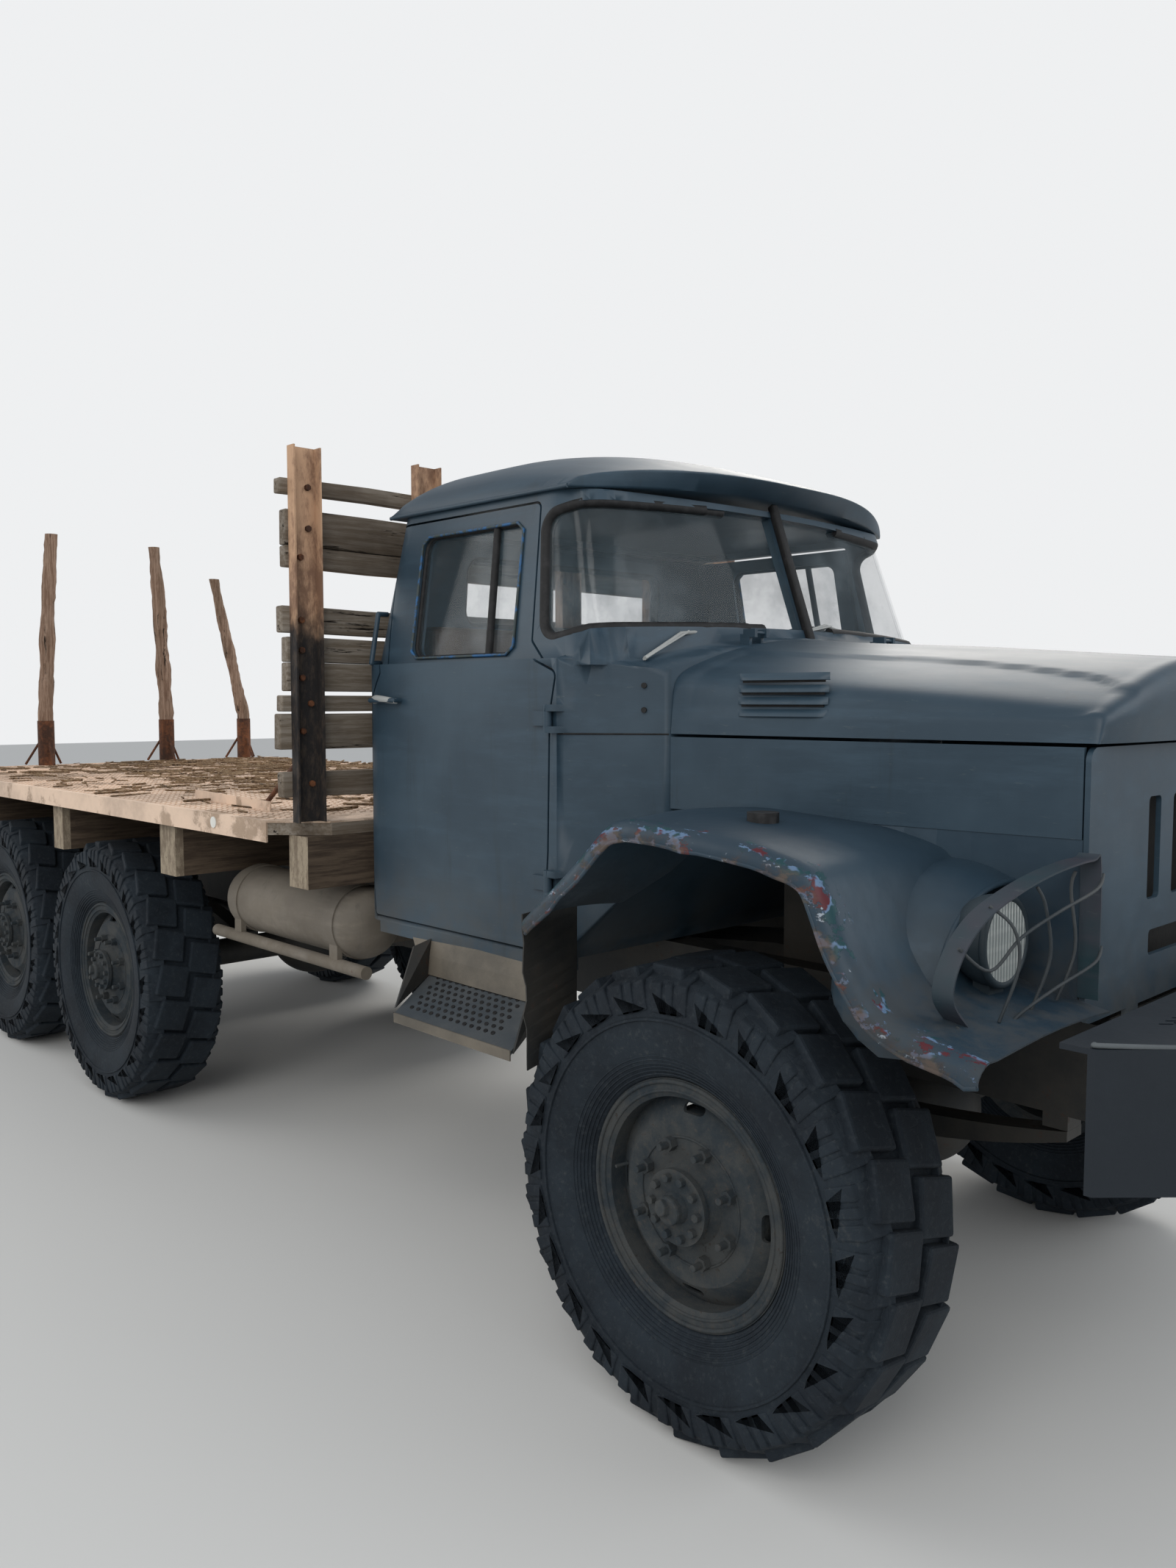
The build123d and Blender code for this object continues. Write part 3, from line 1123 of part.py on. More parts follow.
with BuildPart() as fenders:
    for side, tag in SIDES:
        top_line = [(FRONT_X + x, z) for x, z in FENDER_LINE]
        low_line = [(x + (FENDER_T if x < FRONT_X else -FENDER_T) * 0.6, z - FENDER_T) for x, z in top_line]
        lip_line = [(x + (10 if x < FRONT_X else -10), z - FENDER_LIP) for x, z in top_line]
        outer_plane = Plane.XZ.offset(-side * FENDER_OUT_Y)
        with BuildSketch(outer_plane):
            with BuildLine():
                Polyline(*top_line, *reversed(low_line), close=True)
            make_face()
        extrude(amount=side * (FENDER_OUT_Y - NOSE_HALF_W - 1))
        with BuildSketch(outer_plane):
            with BuildLine():
                Polyline(*top_line, *reversed(lip_line), close=True)
            make_face()
        extrude(amount=side * FENDER_T)
    # The hood sides, the grille and the cab close the inner edges
    with BuildSketch(Plane.XY.offset(1000)):
        with BuildLine():
            Polyline(
                (GRILLE_X + 80, -NOSE_HALF_W - SEAT), (GRILLE_X, -NOSE_HALF_W - SEAT),
                (COWL_X, -COWL_HALF_W - SEAT), (COWL_REAR_X, -CAB_HALF_W - SEAT), (CAB_REAR_X, -CAB_HALF_W - SEAT),
                (CAB_REAR_X, CAB_HALF_W + SEAT), (COWL_REAR_X, CAB_HALF_W + SEAT), (COWL_X, COWL_HALF_W + SEAT),
                (GRILLE_X, NOSE_HALF_W + SEAT), (GRILLE_X + 80, NOSE_HALF_W + SEAT),
                close=True,
            )
        make_face()
    extrude(amount=600, mode=Mode.SUBTRACT)
fenders.part.label = "fenders"
export_step(fenders.part, "parts/fenders.step")

# Headlamps: drawn bowls on brackets that stand on the fenders
with BuildPart() as headlamps:
    bracket_x = LAMP_X - 30
    skin_z = fender_z(bracket_x - 18) + SEAT
    for side, tag in SIDES:
        with BuildSketch(Plane.XY.offset(LAMP_Z)):
            with BuildLine():
                Line((LAMP_X, side * LAMP_Y), (LAMP_X, side * LAMP_Y + LAMP_R))
                Line((LAMP_X, side * LAMP_Y + LAMP_R), (LAMP_X - 22, side * LAMP_Y + LAMP_R))
                ThreePointArc((LAMP_X - 22, side * LAMP_Y + LAMP_R), (LAMP_X - 80, side * LAMP_Y + 66),
                              (LAMP_X - LAMP_DEEP, side * LAMP_Y))
                Line((LAMP_X - LAMP_DEEP, side * LAMP_Y), (LAMP_X, side * LAMP_Y))
            make_face()
        revolve(axis=Axis((LAMP_X, side * LAMP_Y, LAMP_Z), (1, 0, 0)))
        with Locations((bracket_x, side * LAMP_Y, (skin_z + LAMP_Z - 60) / 2)):
            Box(36, 60, LAMP_Z - 60 - skin_z)
headlamps.part.label = "headlamps"
export_step(headlamps.part, "parts/headlamps.step")

with BuildPart() as lamp_lenses:
    for side, tag in SIDES:
        with BuildSketch(Plane.YZ.offset(LAMP_X + SEAT)):
            with Locations((side * LAMP_Y, LAMP_Z)):
                Circle(LAMP_R - 10)
        extrude(amount=7)
lamp_lenses.part.label = "lamp_lenses"
export_step(lamp_lenses.part, "parts/lamp_lenses.step")

# Rod hoops that guard the headlamps, from the grille's edges to the fenders
GUARD_R = 9.0
GUARD_POINTS = (
    # x from the front axle, y, z
    (736, NOSE_HALF_W + SEAT, 1405), (730, 770, 1405), (694, 980, 1300), (672, 1050, 1190),
)
guard_rods = []
for side, tag in SIDES:
    points = [(FRONT_X + x, side * y, z) for x, y, z in GUARD_POINTS]
    foot_x = points[-1][0]
    points.append((foot_x, points[-1][1], fender_z(foot_x - GUARD_R) + SEAT))
    guard_rods.append(rod(points, GUARD_R))
with BuildPart() as lamp_guards:
    for guard in guard_rods:
        add(guard)
lamp_guards.part.label = "lamp_guards"
export_step(lamp_guards.part, "parts/lamp_guards.step")

# Round bases of the lost turn signals on the fenders
SIGNAL_X = FRONT_X + 147.0
SIGNAL_Y = 935.0
SIGNAL_R = 36.0
with BuildPart() as signal_bases:
    for side, tag in SIDES:
        with BuildSketch(Plane.XY.offset(fender_z(SIGNAL_X - SIGNAL_R) + SEAT)):
            with Locations((SIGNAL_X, side * SIGNAL_Y)):
                Circle(SIGNAL_R)
        extrude(amount=26)
signal_bases.part.label = "signal_bases"
export_step(signal_bases.part, "parts/signal_bases.step")

# Cab steps: bent down plates on skirts under the sills
STEP_CORNERS = (
    # x from the front axle, y, z of the upper face
    (-1184, 866, 890), (-664, 866, 890), (-525, 1110, 822), (-1050, 1110, 822),
)
with BuildPart() as cab_steps:
    drop = (STEP_CORNERS[0][2] - STEP_CORNERS[2][2]) / (STEP_CORNERS[2][1] - STEP_CORNERS[0][1])
    for side, tag in SIDES:
        with BuildSketch(Plane.XY.offset(780)):
            with BuildLine():
                Polyline(*[(FRONT_X + x, side * y) for x, y, z in STEP_CORNERS], close=True)
            make_face()
        extrude(amount=150)
    with BuildSketch(Plane.YZ.offset(FRONT_X - 1300)) as slab:
        for side, tag in SIDES:
            with BuildLine():
                Polyline(
                    (side * 850, 890 + 16 * drop), (side * 1130, 890 - 264 * drop),
                    (side * 1130, 890 - 264 * drop - STEP_T), (side * 850, 890 + 16 * drop - STEP_T),
                    close=True,
                )
            make_face()
    extrude(amount=900, mode=Mode.INTERSECT)
    for side, tag in SIDES:
        with Locations((FRONT_X - 924, side * 868, (880 + SILL_Z - SEAT) / 2)):
            Box(520, 8, SILL_Z - SEAT - 880)
cab_steps.part.label = "cab_steps"
export_step(cab_steps.part, "parts/cab_steps.step")

# Gas cylinder on the right, strapped to brackets from the rail, with a pipe rail below
with BuildPart() as gas_cylinder:
    with BuildSketch(Plane.YZ.offset(CYLINDER_REAR_X)):
        with Locations((-CYLINDER_Y, CYLINDER_Z)):
            Circle(CYLINDER_R)
    extrude(amount=CYLINDER_FRONT_X - CYLINDER_REAR_X)
    fillet(gas_cylinder.edges().filter_by(GeomType.CIRCLE), CYLINDER_END_R)
    for strap_x in (CYLINDER_REAR_X + 120, CYLINDER_FRONT_X - 120):
        with Locations((strap_x, -CYLINDER_Y, CYLINDER_Z)):
            Cylinder(CYLINDER_R + STRAP_T, STRAP_W, rotation=(0, 90, 0))
        # Bracket arm from the rail, with a leg down to the pipe rail
        reach = CYLINDER_Y - RAIL_OUT_Y - SEAT
        with Locations((strap_x, -RAIL_OUT_Y - SEAT - reach / 2, CYLINDER_Z - 60)):
            Box(STRAP_W, reach, 60)
        with Locations((strap_x, -CYLINDER_Y - 100, CYLINDER_Z - 100)):
            Box(STRAP_W, 20, 100)
    with Locations(((CYLINDER_REAR_X + CYLINDER_FRONT_X) / 2, -900, 829)):
        Cylinder(RAIL_PIPE_R, 1050, rotation=(0, 90, 0))
gas_cylinder.part.label = "gas_cylinder"
export_step(gas_cylinder.part, "parts/gas_cylinder.step")

# Fuel tank on the left
with BuildPart() as fuel_tank:
    with BuildSketch(Plane.YZ.offset(TANK_REAR_X)):
        with Locations(((TANK_OUT_Y + TANK_IN_Y) / 2, (TANK_LOW + TANK_TOP) / 2)):
            RectangleRounded(TANK_OUT_Y - TANK_IN_Y, TANK_TOP - TANK_LOW, 70)
    extrude(amount=TANK_FRONT_X - TANK_REAR_X)
    for strap_x in (TANK_REAR_X + 150, TANK_FRONT_X - 150):
        with Locations((strap_x, (RAIL_OUT_Y + SEAT + TANK_IN_Y + 20) / 2, 880)):
            Box(STRAP_W, TANK_IN_Y + 20 - RAIL_OUT_Y - SEAT, 150)
fuel_tank.part.label = "fuel_tank"
export_step(fuel_tank.part, "parts/fuel_tank.step")


# Deck
def deck_plan(inset):
    """Deck outline in plan, with the front corners cut back."""
    half = DECK_HALF_W - inset
    Polyline(
        (DECK_REAR_X, -half), (DECK_FRONT_X - DECK_CORNER, -half), (DECK_FRONT_X, DECK_CORNER - half),
        (DECK_FRONT_X, half - DECK_CORNER), (DECK_FRONT_X - DECK_CORNER, half), (DECK_REAR_X, half),
        close=True,
    )


with BuildPart() as deck_plate:
    with BuildSketch(Plane.XY.offset(DECK_TOP - DECK_T)):
        with BuildLine():
            deck_plan(0)
        make_face()
    extrude(amount=DECK_T)
    edge_front = DECK_FRONT_X - DECK_CORNER
    for side, tag in SIDES:
        with Locations(((DECK_REAR_X + edge_front) / 2, side * (DECK_HALF_W - EDGE_T / 2), DECK_TOP - EDGE_H / 2)):
            Box(edge_front - DECK_REAR_X, EDGE_T, EDGE_H)
    # Joints between the sheets that the top is laid from
    for joint_x in (DECK_FRONT_X - FRONT_SHEET_L, DECK_REAR_X + REAR_SHEET_L):
        with Locations((joint_x, 0, DECK_TOP)):
            Box(JOINT_W, 2 * DECK_HALF_W + JOINT_W, 2 * JOINT_DEEP, mode=Mode.SUBTRACT)
deck_plate.part.label = "deck_plate"
export_step(deck_plate.part, "parts/deck_plate.step")

with BuildPart() as deck_boards:
    with BuildSketch(Plane.XY.offset(BEAM_TOP)):
        with BuildLine():
            deck_plan(EDGE_T + SEAT)
        make_face()
    extrude(amount=BOARD_T)
deck_boards.part.label = "deck_boards"
export_step(deck_boards.part, "parts/deck_boards.step")

BEAMS = (
    # centre x from the front axle, width, height, half length
    (-1660, 116, 172, 1059), (-2574, 131, 222, 1090), (-3698, 110, 222, 1090), (-4930, 120, 222, 1090),
    (-5735, 120, 222, 1090),
)
with BuildPart() as deck_beams:
    beam_top = BEAM_TOP - SEAT
    for beam_x, beam_w, beam_h, beam_half in BEAMS:
        with Locations((FRONT_X + beam_x, 0, beam_top - beam_h / 2)):
            Box(beam_w, 2 * beam_half, beam_h)
    low = RAIL_TOP + SEAT
    stringer_front = FRONT_X - 1610
    for side, tag in SIDES:
        with Locations(((stringer_front + DECK_REAR_X + 10) / 2, side * RAIL_Y, (low + beam_top) / 2)):
            Box(stringer_front - DECK_REAR_X - 10, STRINGER_W, beam_top - low)
deck_beams.part.label = "deck_beams"
export_step(deck_beams.part, "parts/deck_beams.step")

# Headboard: steel channel posts open to the front, planks bolted behind them
brace = rod((
    (FRONT_X - 2201, -879, DECK_TOP + 14), (POST_X - 4, -1050, 1541),
), 9)
with BuildPart() as headboard_brace:
    add(brace)
headboard_brace.part.label = "headboard_brace"
export_step(headboard_brace.part, "parts/headboard_brace.step")

with BuildPart() as headboard_posts:
    for post_y in POST_YS:
        with BuildSketch(Plane.XY.offset(DECK_TOP + SEAT)):
            with Locations((POST_X + POST_D / 2, post_y)):
                Rectangle(POST_D, POST_W)
            with Locations((POST_X + POST_D / 2 + POST_T, post_y)):
                Rectangle(POST_D, POST_W - 2 * POST_T, mode=Mode.SUBTRACT)
        extrude(amount=POST_TOP - DECK_TOP - SEAT)
headboard_posts.part.label = "headboard_posts"
export_step(headboard_posts.part, "parts/headboard_posts.step")

PLANKS = (
    # low z, high z, overhang past the near and far posts
    (1414, 1497, 30), (1570, 1682, 38), (1689, 1740, 30), (1753, 1844, 12), (1846, 1926, 12),
    (1940, 2025, 30), (2149, 2216, 12), (2218, 2331, 12), (2381, 2430, 30),
)
with BuildPart() as headboard_planks:
    for plank_low, plank_high, over in PLANKS:
        plank_half = POST_YS[-1] + POST_W / 2 + over
        with Locations((POST_X - SEAT - PLANK_T / 2, 0, (plank_low + plank_high) / 2)):
            Box(PLANK_T, 2 * plank_half, plank_high - plank_low)
headboard_planks.part.label = "headboard_planks"
export_step(headboard_planks.part, "parts/headboard_planks.step")

# Loose angle iron fixed along the right of the deck
with BuildPart() as deck_angle:
    with Locations(Location((FRONT_X - 2398, -898, DECK_TOP + SEAT + 18), (0, 0, -5.3))):
        Box(732, 40, 36)
        with Locations((0, 4, 4)):
            Box(740, 40, 36, mode=Mode.SUBTRACT)
deck_angle.part.label = "deck_angle"
export_step(deck_angle.part, "parts/deck_angle.step")

# Stakes in braced steel sockets across the rear end
STAKES = (
    # y, z of the top, lean of the top in y, radius
    (-1020, 2650, 20, 42), (-421, 2726, 63, 43), (336, 2702, -51, 43), (880, 2527, -202, 40),
)
with BuildPart() as stake_sockets:
    for stake_y, stake_top, lean, stake_r in STAKES:
        for turn in (30, 150, 270):
            foot_x = STAKE_X + 120 * cos(radians(turn + 90))
            foot_y = stake_y + 120 * sin(radians(turn + 90))
            with BuildLine():
                Line((foot_x, foot_y, DECK_TOP + SEAT + BRACE_R), (STAKE_X, stake_y, DECK_TOP + SOCKET_H * 0.75))
            with BuildSketch(Plane(origin=(foot_x, foot_y, DECK_TOP + SEAT + BRACE_R),
                                   z_dir=(STAKE_X - foot_x, stake_y - foot_y, SOCKET_H * 0.75 - SEAT - BRACE_R))):
                Circle(BRACE_R)
            sweep()
        with Locations((STAKE_X, stake_y, DECK_TOP + SEAT + SOCKET_H / 2)):
            Cylinder(stake_r + SEAT + SOCKET_T, SOCKET_H)
            Cylinder(stake_r + SEAT, SOCKET_H + 20, mode=Mode.SUBTRACT)
stake_sockets.part.label = "stake_sockets"
export_step(stake_sockets.part, "parts/stake_sockets.step")

with BuildPart() as stakes:
    for stake_y, stake_top, lean, stake_r in STAKES:
        foot = DECK_TOP + SEAT
        bend = foot + SOCKET_H + 20
        with BuildSketch(Plane.XY.offset(foot)):
            with Locations((STAKE_X, stake_y)):
                Circle(stake_r)
        extrude(amount=bend - foot)
        with BuildSketch(Plane.XY.offset(bend)):
            with Locations((STAKE_X, stake_y)):
                Circle(stake_r)
        with BuildSketch(Plane.XY.offset(stake_top)):
            with Locations((STAKE_X, stake_y + lean)):
                Circle(stake_r * 0.9)
        loft()
stakes.part.label = "stakes"
export_step(stakes.part, "parts/stakes.step")
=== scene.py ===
import json
import math
import random
from contextlib import contextmanager

import bpy
from mathutils import Matrix, Vector, noise


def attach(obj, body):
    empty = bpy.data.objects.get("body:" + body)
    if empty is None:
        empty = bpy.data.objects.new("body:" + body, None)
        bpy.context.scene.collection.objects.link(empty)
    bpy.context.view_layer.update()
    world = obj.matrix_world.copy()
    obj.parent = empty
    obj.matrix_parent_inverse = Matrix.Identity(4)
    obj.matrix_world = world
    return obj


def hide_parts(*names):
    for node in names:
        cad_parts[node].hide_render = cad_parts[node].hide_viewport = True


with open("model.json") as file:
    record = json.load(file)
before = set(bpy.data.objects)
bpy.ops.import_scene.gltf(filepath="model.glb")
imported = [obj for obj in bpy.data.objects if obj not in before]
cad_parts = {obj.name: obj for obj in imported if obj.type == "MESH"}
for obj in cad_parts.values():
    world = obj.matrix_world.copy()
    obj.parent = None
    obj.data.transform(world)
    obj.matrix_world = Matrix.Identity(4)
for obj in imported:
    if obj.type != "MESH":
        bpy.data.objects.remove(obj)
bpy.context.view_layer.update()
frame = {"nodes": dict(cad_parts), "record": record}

bl_info = {
    "name": "Flatbed army truck",
    "version": (1, 0, 0),
    "blender": (4, 5, 0),
    "location": "View3D > Sidebar > Truck",
    "description": "Dresses the packed truck with its finishes and finer pieces",
    "category": "Object",
}

# Where things stand, in metres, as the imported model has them
FRONT_X = 2.300
MID_X = FRONT_X - 3.350
REAR_X = MID_X - 1.250
WHEEL_Y = 0.910
WHEEL_Z = 0.560
DECK_TOP = 1.331
BUMPER_TOP = 1.163
DECK_REAR = FRONT_X - 5.800
DECK_FRONT = FRONT_X - 1.600
LAMP = Vector((FRONT_X + 0.650, 0.795, 1.240))
LAMP_R = 0.094
SIDES = ((-1, "right"), (1, "left"))
SEED = 5
WHEELS = (
    # name, x, side
    ("front_right", FRONT_X, -1),
    ("front_left", FRONT_X, 1),
    ("mid_right", MID_X, -1),
    ("mid_left", MID_X, 1),
    ("rear_right", REAR_X, -1),
    ("rear_left", REAR_X, 1),
)
STAKES = (
    # y, z of the top, lean of the top in y, radius
    (-1.020, 2.650, 0.020, 0.042),
    (-0.421, 2.726, 0.063, 0.043),
    (0.336, 2.702, -0.051, 0.043),
    (0.880, 2.527, -0.202, 0.040),
)
STAKE_X = DECK_REAR + 0.070


def srgb(red, green, blue):
    """Linear colour of an 8-bit display colour."""
    return tuple(pow(max(c / 255, 0), 2.2) for c in (red, green, blue)) + (1.0,)


# Shader building
class Value:
    """A socket whose arithmetic adds Math nodes."""

    def __init__(self, web, socket):
        self.web = web
        self.socket = socket

    def _math(self, operation, first, second):
        return self.web.node("ShaderNodeMath", {"operation": operation}, {0: first, 1: second})

    def __add__(self, other):
        return self._math("ADD", self, other)

    __radd__ = __add__

    def __sub__(self, other):
        return self._math("SUBTRACT", self, other)

    def __rsub__(self, other):
        return self._math("SUBTRACT", other, self)

    def __mul__(self, other):
        return self._math("MULTIPLY", self, other)

    __rmul__ = __mul__

    def absolute(self):
        return self.web.node("ShaderNodeMath", {"operation": "ABSOLUTE"}, {0: self})

    def sine(self):
        return self.web.node("ShaderNodeMath", {"operation": "SINE"}, {0: self})

    def above(self, low, high):
        """0 below low, 1 above high, smooth between."""
        return self.web.node(
            "ShaderNodeMapRange",
            {"interpolation_type": "SMOOTHSTEP"},
            {"Value": self, "From Min": low, "From Max": high},
        )


class Finish:
    """One material and the nodes that make it."""

    def __init__(self, name):
        self.material = bpy.data.materials.new(name)
        self.material.use_nodes = True
        self.tree = self.material.node_tree
        self.tree.nodes.clear()
        self.place = self.node("ShaderNodeTexCoord", {}, {}, "Object")

    def node(self, kind, settings, inputs, output=0):
        made = self.tree.nodes.new(kind)
        for key, value in settings.items():
            setattr(made, key, value)
        for key, value in inputs.items():
            if isinstance(value, Value):
                self.tree.links.new(value.socket, made.inputs[key])
            else:
                made.inputs[key].default_value = value
        return Value(self, made.outputs[output])

    def axis(self, letter):
        return self.node("ShaderNodeSeparateXYZ", {}, {0: self.place}, letter)

    def mapped(self, scale, shift=0.0):
        inputs = {"Vector": self.place, "Scale": scale, "Location": (shift, shift, shift)}
        return self.node("ShaderNodeMapping", {}, inputs)

    def noise(self, scale, detail=4.0, rough=0.6, stretch=(1, 1, 1), offset=0.0):
        vector = self.mapped(stretch, offset)
        inputs = {"Vector": vector, "Scale": scale, "Detail": detail, "Roughness": rough}
        return self.node("ShaderNodeTexNoise", {}, inputs)

    def cells(self, scale, feature="F1"):
        inputs = {"Vector": self.mapped((1, 1, 1)), "Scale": scale}
        return self.node("ShaderNodeTexVoronoi", {"feature": feature}, inputs, "Distance")

    def mix(self, amount, first, second):
        made = self.tree.nodes.new("ShaderNodeMix")
        made.data_type = "RGBA"
        for index, value in ((0, amount), (6, first), (7, second)):
            if isinstance(value, Value):
                self.tree.links.new(value.socket, made.inputs[index])
            else:
                made.inputs[index].default_value = value
        return Value(self, made.outputs[2])

    def bump(self, height, distance, strength=1.0, normal=None):
        inputs = {"Height": height, "Distance": distance, "Strength": strength}
        if normal is not None:
            inputs["Normal"] = normal
        return self.node("ShaderNodeBump", {}, inputs)

    def done(self, colour, rough, metal=0.0, normal=None, **fixed):
        inputs = {"Base Color": colour, "Roughness": rough, "Metallic": metal}
        if normal is not None:
            inputs["Normal"] = normal
        for key, value in fixed.items():
            inputs[key.replace("_", " ")] = value
        surface = self.node("ShaderNodeBsdfPrincipled", {}, inputs, "BSDF")
        out = self.tree.nodes.new("ShaderNodeOutputMaterial")
        self.tree.links.new(surface.socket, out.inputs["Surface"])
        return self.material


def old_paint(name, base, faded, dust_top=1.1, chips=0.0, rough=0.52):
    """Faded brushed-on paint with dust low down, fine scratches, stains and rusty chips."""
    f = Finish(name)
    cloud = f.noise(1.6, 5.0, 0.62)
    colour = f.mix(cloud.above(0.38, 0.66), base, faded)
    brushed = f.noise(9.0, 6.0, 0.7, (0.25, 1.0, 2.2))
    colour = f.mix(brushed.above(0.45, 0.75) * 0.35, colour, tuple(c * 1.45 for c in faded[:3]) + (1,))
    streak = f.noise(14.0, 5.0, 0.75, (1.0, 1.0, 0.08), 3.0)
    colour = f.mix(streak.above(0.56, 0.74) * 0.30, colour, srgb(34, 40, 40))
    fine = f.noise(60.0, 3.0, 0.8, (0.3, 0.3, 1.8), 7.0)
    colour = f.mix(fine.above(0.64, 0.72) * 0.22, colour, srgb(92, 100, 98))
    height = f.axis("Z")
    dirt = f.noise(5.0, 6.0, 0.7, (1, 1, 1), 11.0)
    low = (1.0 - height.above(dust_top - 0.35, dust_top + 0.25)) * dirt.above(0.30, 0.62)
    colour = f.mix(low * 0.62, colour, srgb(88, 80, 68))
    spots = f.noise(22.0, 6.0, 0.72, (1, 1, 1), 23.0)
    chip = spots.above(0.735 - chips, 0.75 - chips)
    colour = f.mix(chip, colour, f.mix(fine, srgb(92, 52, 34), srgb(58, 40, 32)))
    gloss = brushed * 0.18 + low * 0.3 + chip * 0.3 + (rough - 0.09)
    bump = f.bump(brushed * 0.5 + fine * 0.5, 0.0006, 0.6)
    bump = f.bump(f.noise(2.4, 2.0, 0.5, (1, 1, 1), 31.0), 0.012, 0.35, bump)
    return f.done(colour, gloss, 0.0, bump, Specular_IOR_Level=0.40)


def chipped_fender():
    """Paint whose outer edge shows the older coats, scrapes and rust."""
    f = Finish("fender_paint")
    cloud = f.noise(1.8, 5.0, 0.62)
    colour = f.mix(cloud.above(0.38, 0.66), srgb(38, 54, 66), srgb(48, 65, 77))
    dirt = f.noise(6.0, 6.0, 0.7, (1, 1, 1), 11.0)
    height = f.axis("Z")
    low = (1.0 - height.above(1.10, 1.42)) * dirt.above(0.36, 0.60)
    colour = f.mix(low * 0.45, colour, srgb(70, 68, 64))
    out = f.axis("Y").absolute()
    fine = f.noise(34.0, 6.0, 0.7, (0.40, 1, 0.6), 2.0)
    coarse = f.noise(5.5, 5.0, 0.65, (1, 1, 1), 41.0)
    near = out.above(1.065, 1.150)
    worn = (coarse * 0.25 + fine * 0.75 + near * 0.10).above(0.615, 0.63)
    coats = f.noise(26.0, 3.0, 0.5, (0.5, 1, 0.8), 53.0)
    coat = f.mix(coats.above(0.50, 0.54), srgb(22, 58, 64), srgb(84, 108, 136))
    coat = f.mix(coats.above(0.58, 0.62), coat, srgb(76, 28, 36))
    colour = f.mix(worn * near.above(0.02, 0.30), colour, coat)
    scrape = f.noise(30.0, 7.0, 0.75, (0.4, 1, 1), 67.0).above(0.62, 0.65) * near
    colour = f.mix(scrape, colour, srgb(150, 160, 170))
    rim = (out + (fine - 0.5) * 0.02).above(1.140, 1.149) * (coarse * 0.5 + fine * 0.5).above(0.46, 0.56)
    rust = f.mix(fine.above(0.4, 0.6), srgb(52, 44, 42), srgb(88, 74, 66))
    colour = f.mix(rim * 0.8, colour, rust)
    bump = f.bump(f.noise(7.0, 3.0, 0.5, (1, 1, 1), 31.0), 0.010, 0.5)
    bump = f.bump(worn * near + fine * 0.4, 0.0010, 0.6, bump)
    return f.done(colour, 0.46 + low * 0.3 + rim * 0.25, 0.0, bump, Specular_IOR_Level=0.32)


def dark_steel(name, base, dust, amount=0.5, rust=0.35):
    f = Finish(name)
    cloud = f.noise(3.2, 6.0, 0.66)
    fine = f.noise(42.0, 5.0, 0.7, (1, 1, 1), 5.0)
    colour = f.mix(cloud.above(0.35, 0.65) * amount, base, dust)
    worn = (cloud * 0.45 + fine * 0.55).above(0.60 - rust * 0.12, 0.66 - rust * 0.08)
    colour = f.mix(worn * rust, colour, srgb(98, 58, 38))
    grit = f.bump(fine + cloud, 0.0012, 0.8)
    return f.done(colour, 0.62 + worn * 0.25, 0.0, grit, Specular_IOR_Level=0.35)


def rusty(name, dark, orange, rough=0.82):
    f = Finish(name)
    cloud = f.noise(4.5, 7.0, 0.68)
    fine = f.noise(55.0, 6.0, 0.72, (1, 1, 1), 9.0)
    run = f.noise(18.0, 4.0, 0.6, (1.0, 1.0, 0.12), 2.0)
    colour = f.mix((cloud * 0.6 + fine * 0.4).above(0.40, 0.60), dark, orange)
    colour = f.mix(run.above(0.52, 0.70) * 0.45, colour, srgb(46, 34, 29))
    pits = f.bump(fine + cloud * 0.7, 0.0018, 0.9)
    return f.done(colour, rough, 0.15, pits, Specular_IOR_Level=0.3)


def timber(name, grey, brown, along="Y"):
    """Weathered wood with its grain along one axis."""
    f = Finish(name)
    stretch = {"X": (0.05, 1.0, 1.0), "Y": (1.0, 0.05, 1.0), "Z": (1.0, 1.0, 0.05)}[along]
    grain = f.noise(85.0, 7.0, 0.72, stretch)
    broad = f.noise(9.0, 5.0, 0.6, stretch, 4.0)
    colour = f.mix(grain.above(0.36, 0.64), brown, grey)
    colour = f.mix(broad.above(0.45, 0.70) * 0.6, colour, srgb(84, 72, 60))
    crack = f.noise(34.0, 6.0, 0.8, stretch, 12.0).above(0.60, 0.64)
    colour = f.mix(crack, colour, srgb(34, 29, 25))
    stain = f.noise(2.2, 4.0, 0.6, (1, 1, 1), 17.0).above(0.50, 0.72)
    colour = f.mix(stain * 0.5, colour, srgb(58, 50, 43))
    relief = f.bump(grain * 0.6 - crack * 1.0, 0.0035, 0.9)
    return f.done(colour, 0.88, 0.0, relief, Specular_IOR_Level=0.2)


def beam_timber():
    """Dark sawn sides with pale cracked end grain."""
    f = Finish("beam_timber")
    grain = f.noise(60.0, 7.0, 0.72, (1.0, 0.06, 1.0))
    side = f.mix(grain.above(0.36, 0.64), srgb(62, 53, 46), srgb(92, 80, 68))
    out = f.axis("Y").absolute()
    cracks = f.noise(26.0, 6.0, 0.8, (1.6, 1.0, 0.5), 5.0)
    end = f.mix(cracks.above(0.40, 0.60), srgb(116, 104, 90), srgb(150, 138, 120))
    end = f.mix(cracks.above(0.66, 0.68), end, srgb(44, 36, 30))
    colour = f.mix(out.above(1.0565, 1.0585), side, end)
    relief = f.bump(grain * 0.5 - cracks.above(0.66, 0.68), 0.004, 0.8)
    return f.done(colour, 0.88, 0.0, relief, Specular_IOR_Level=0.2)


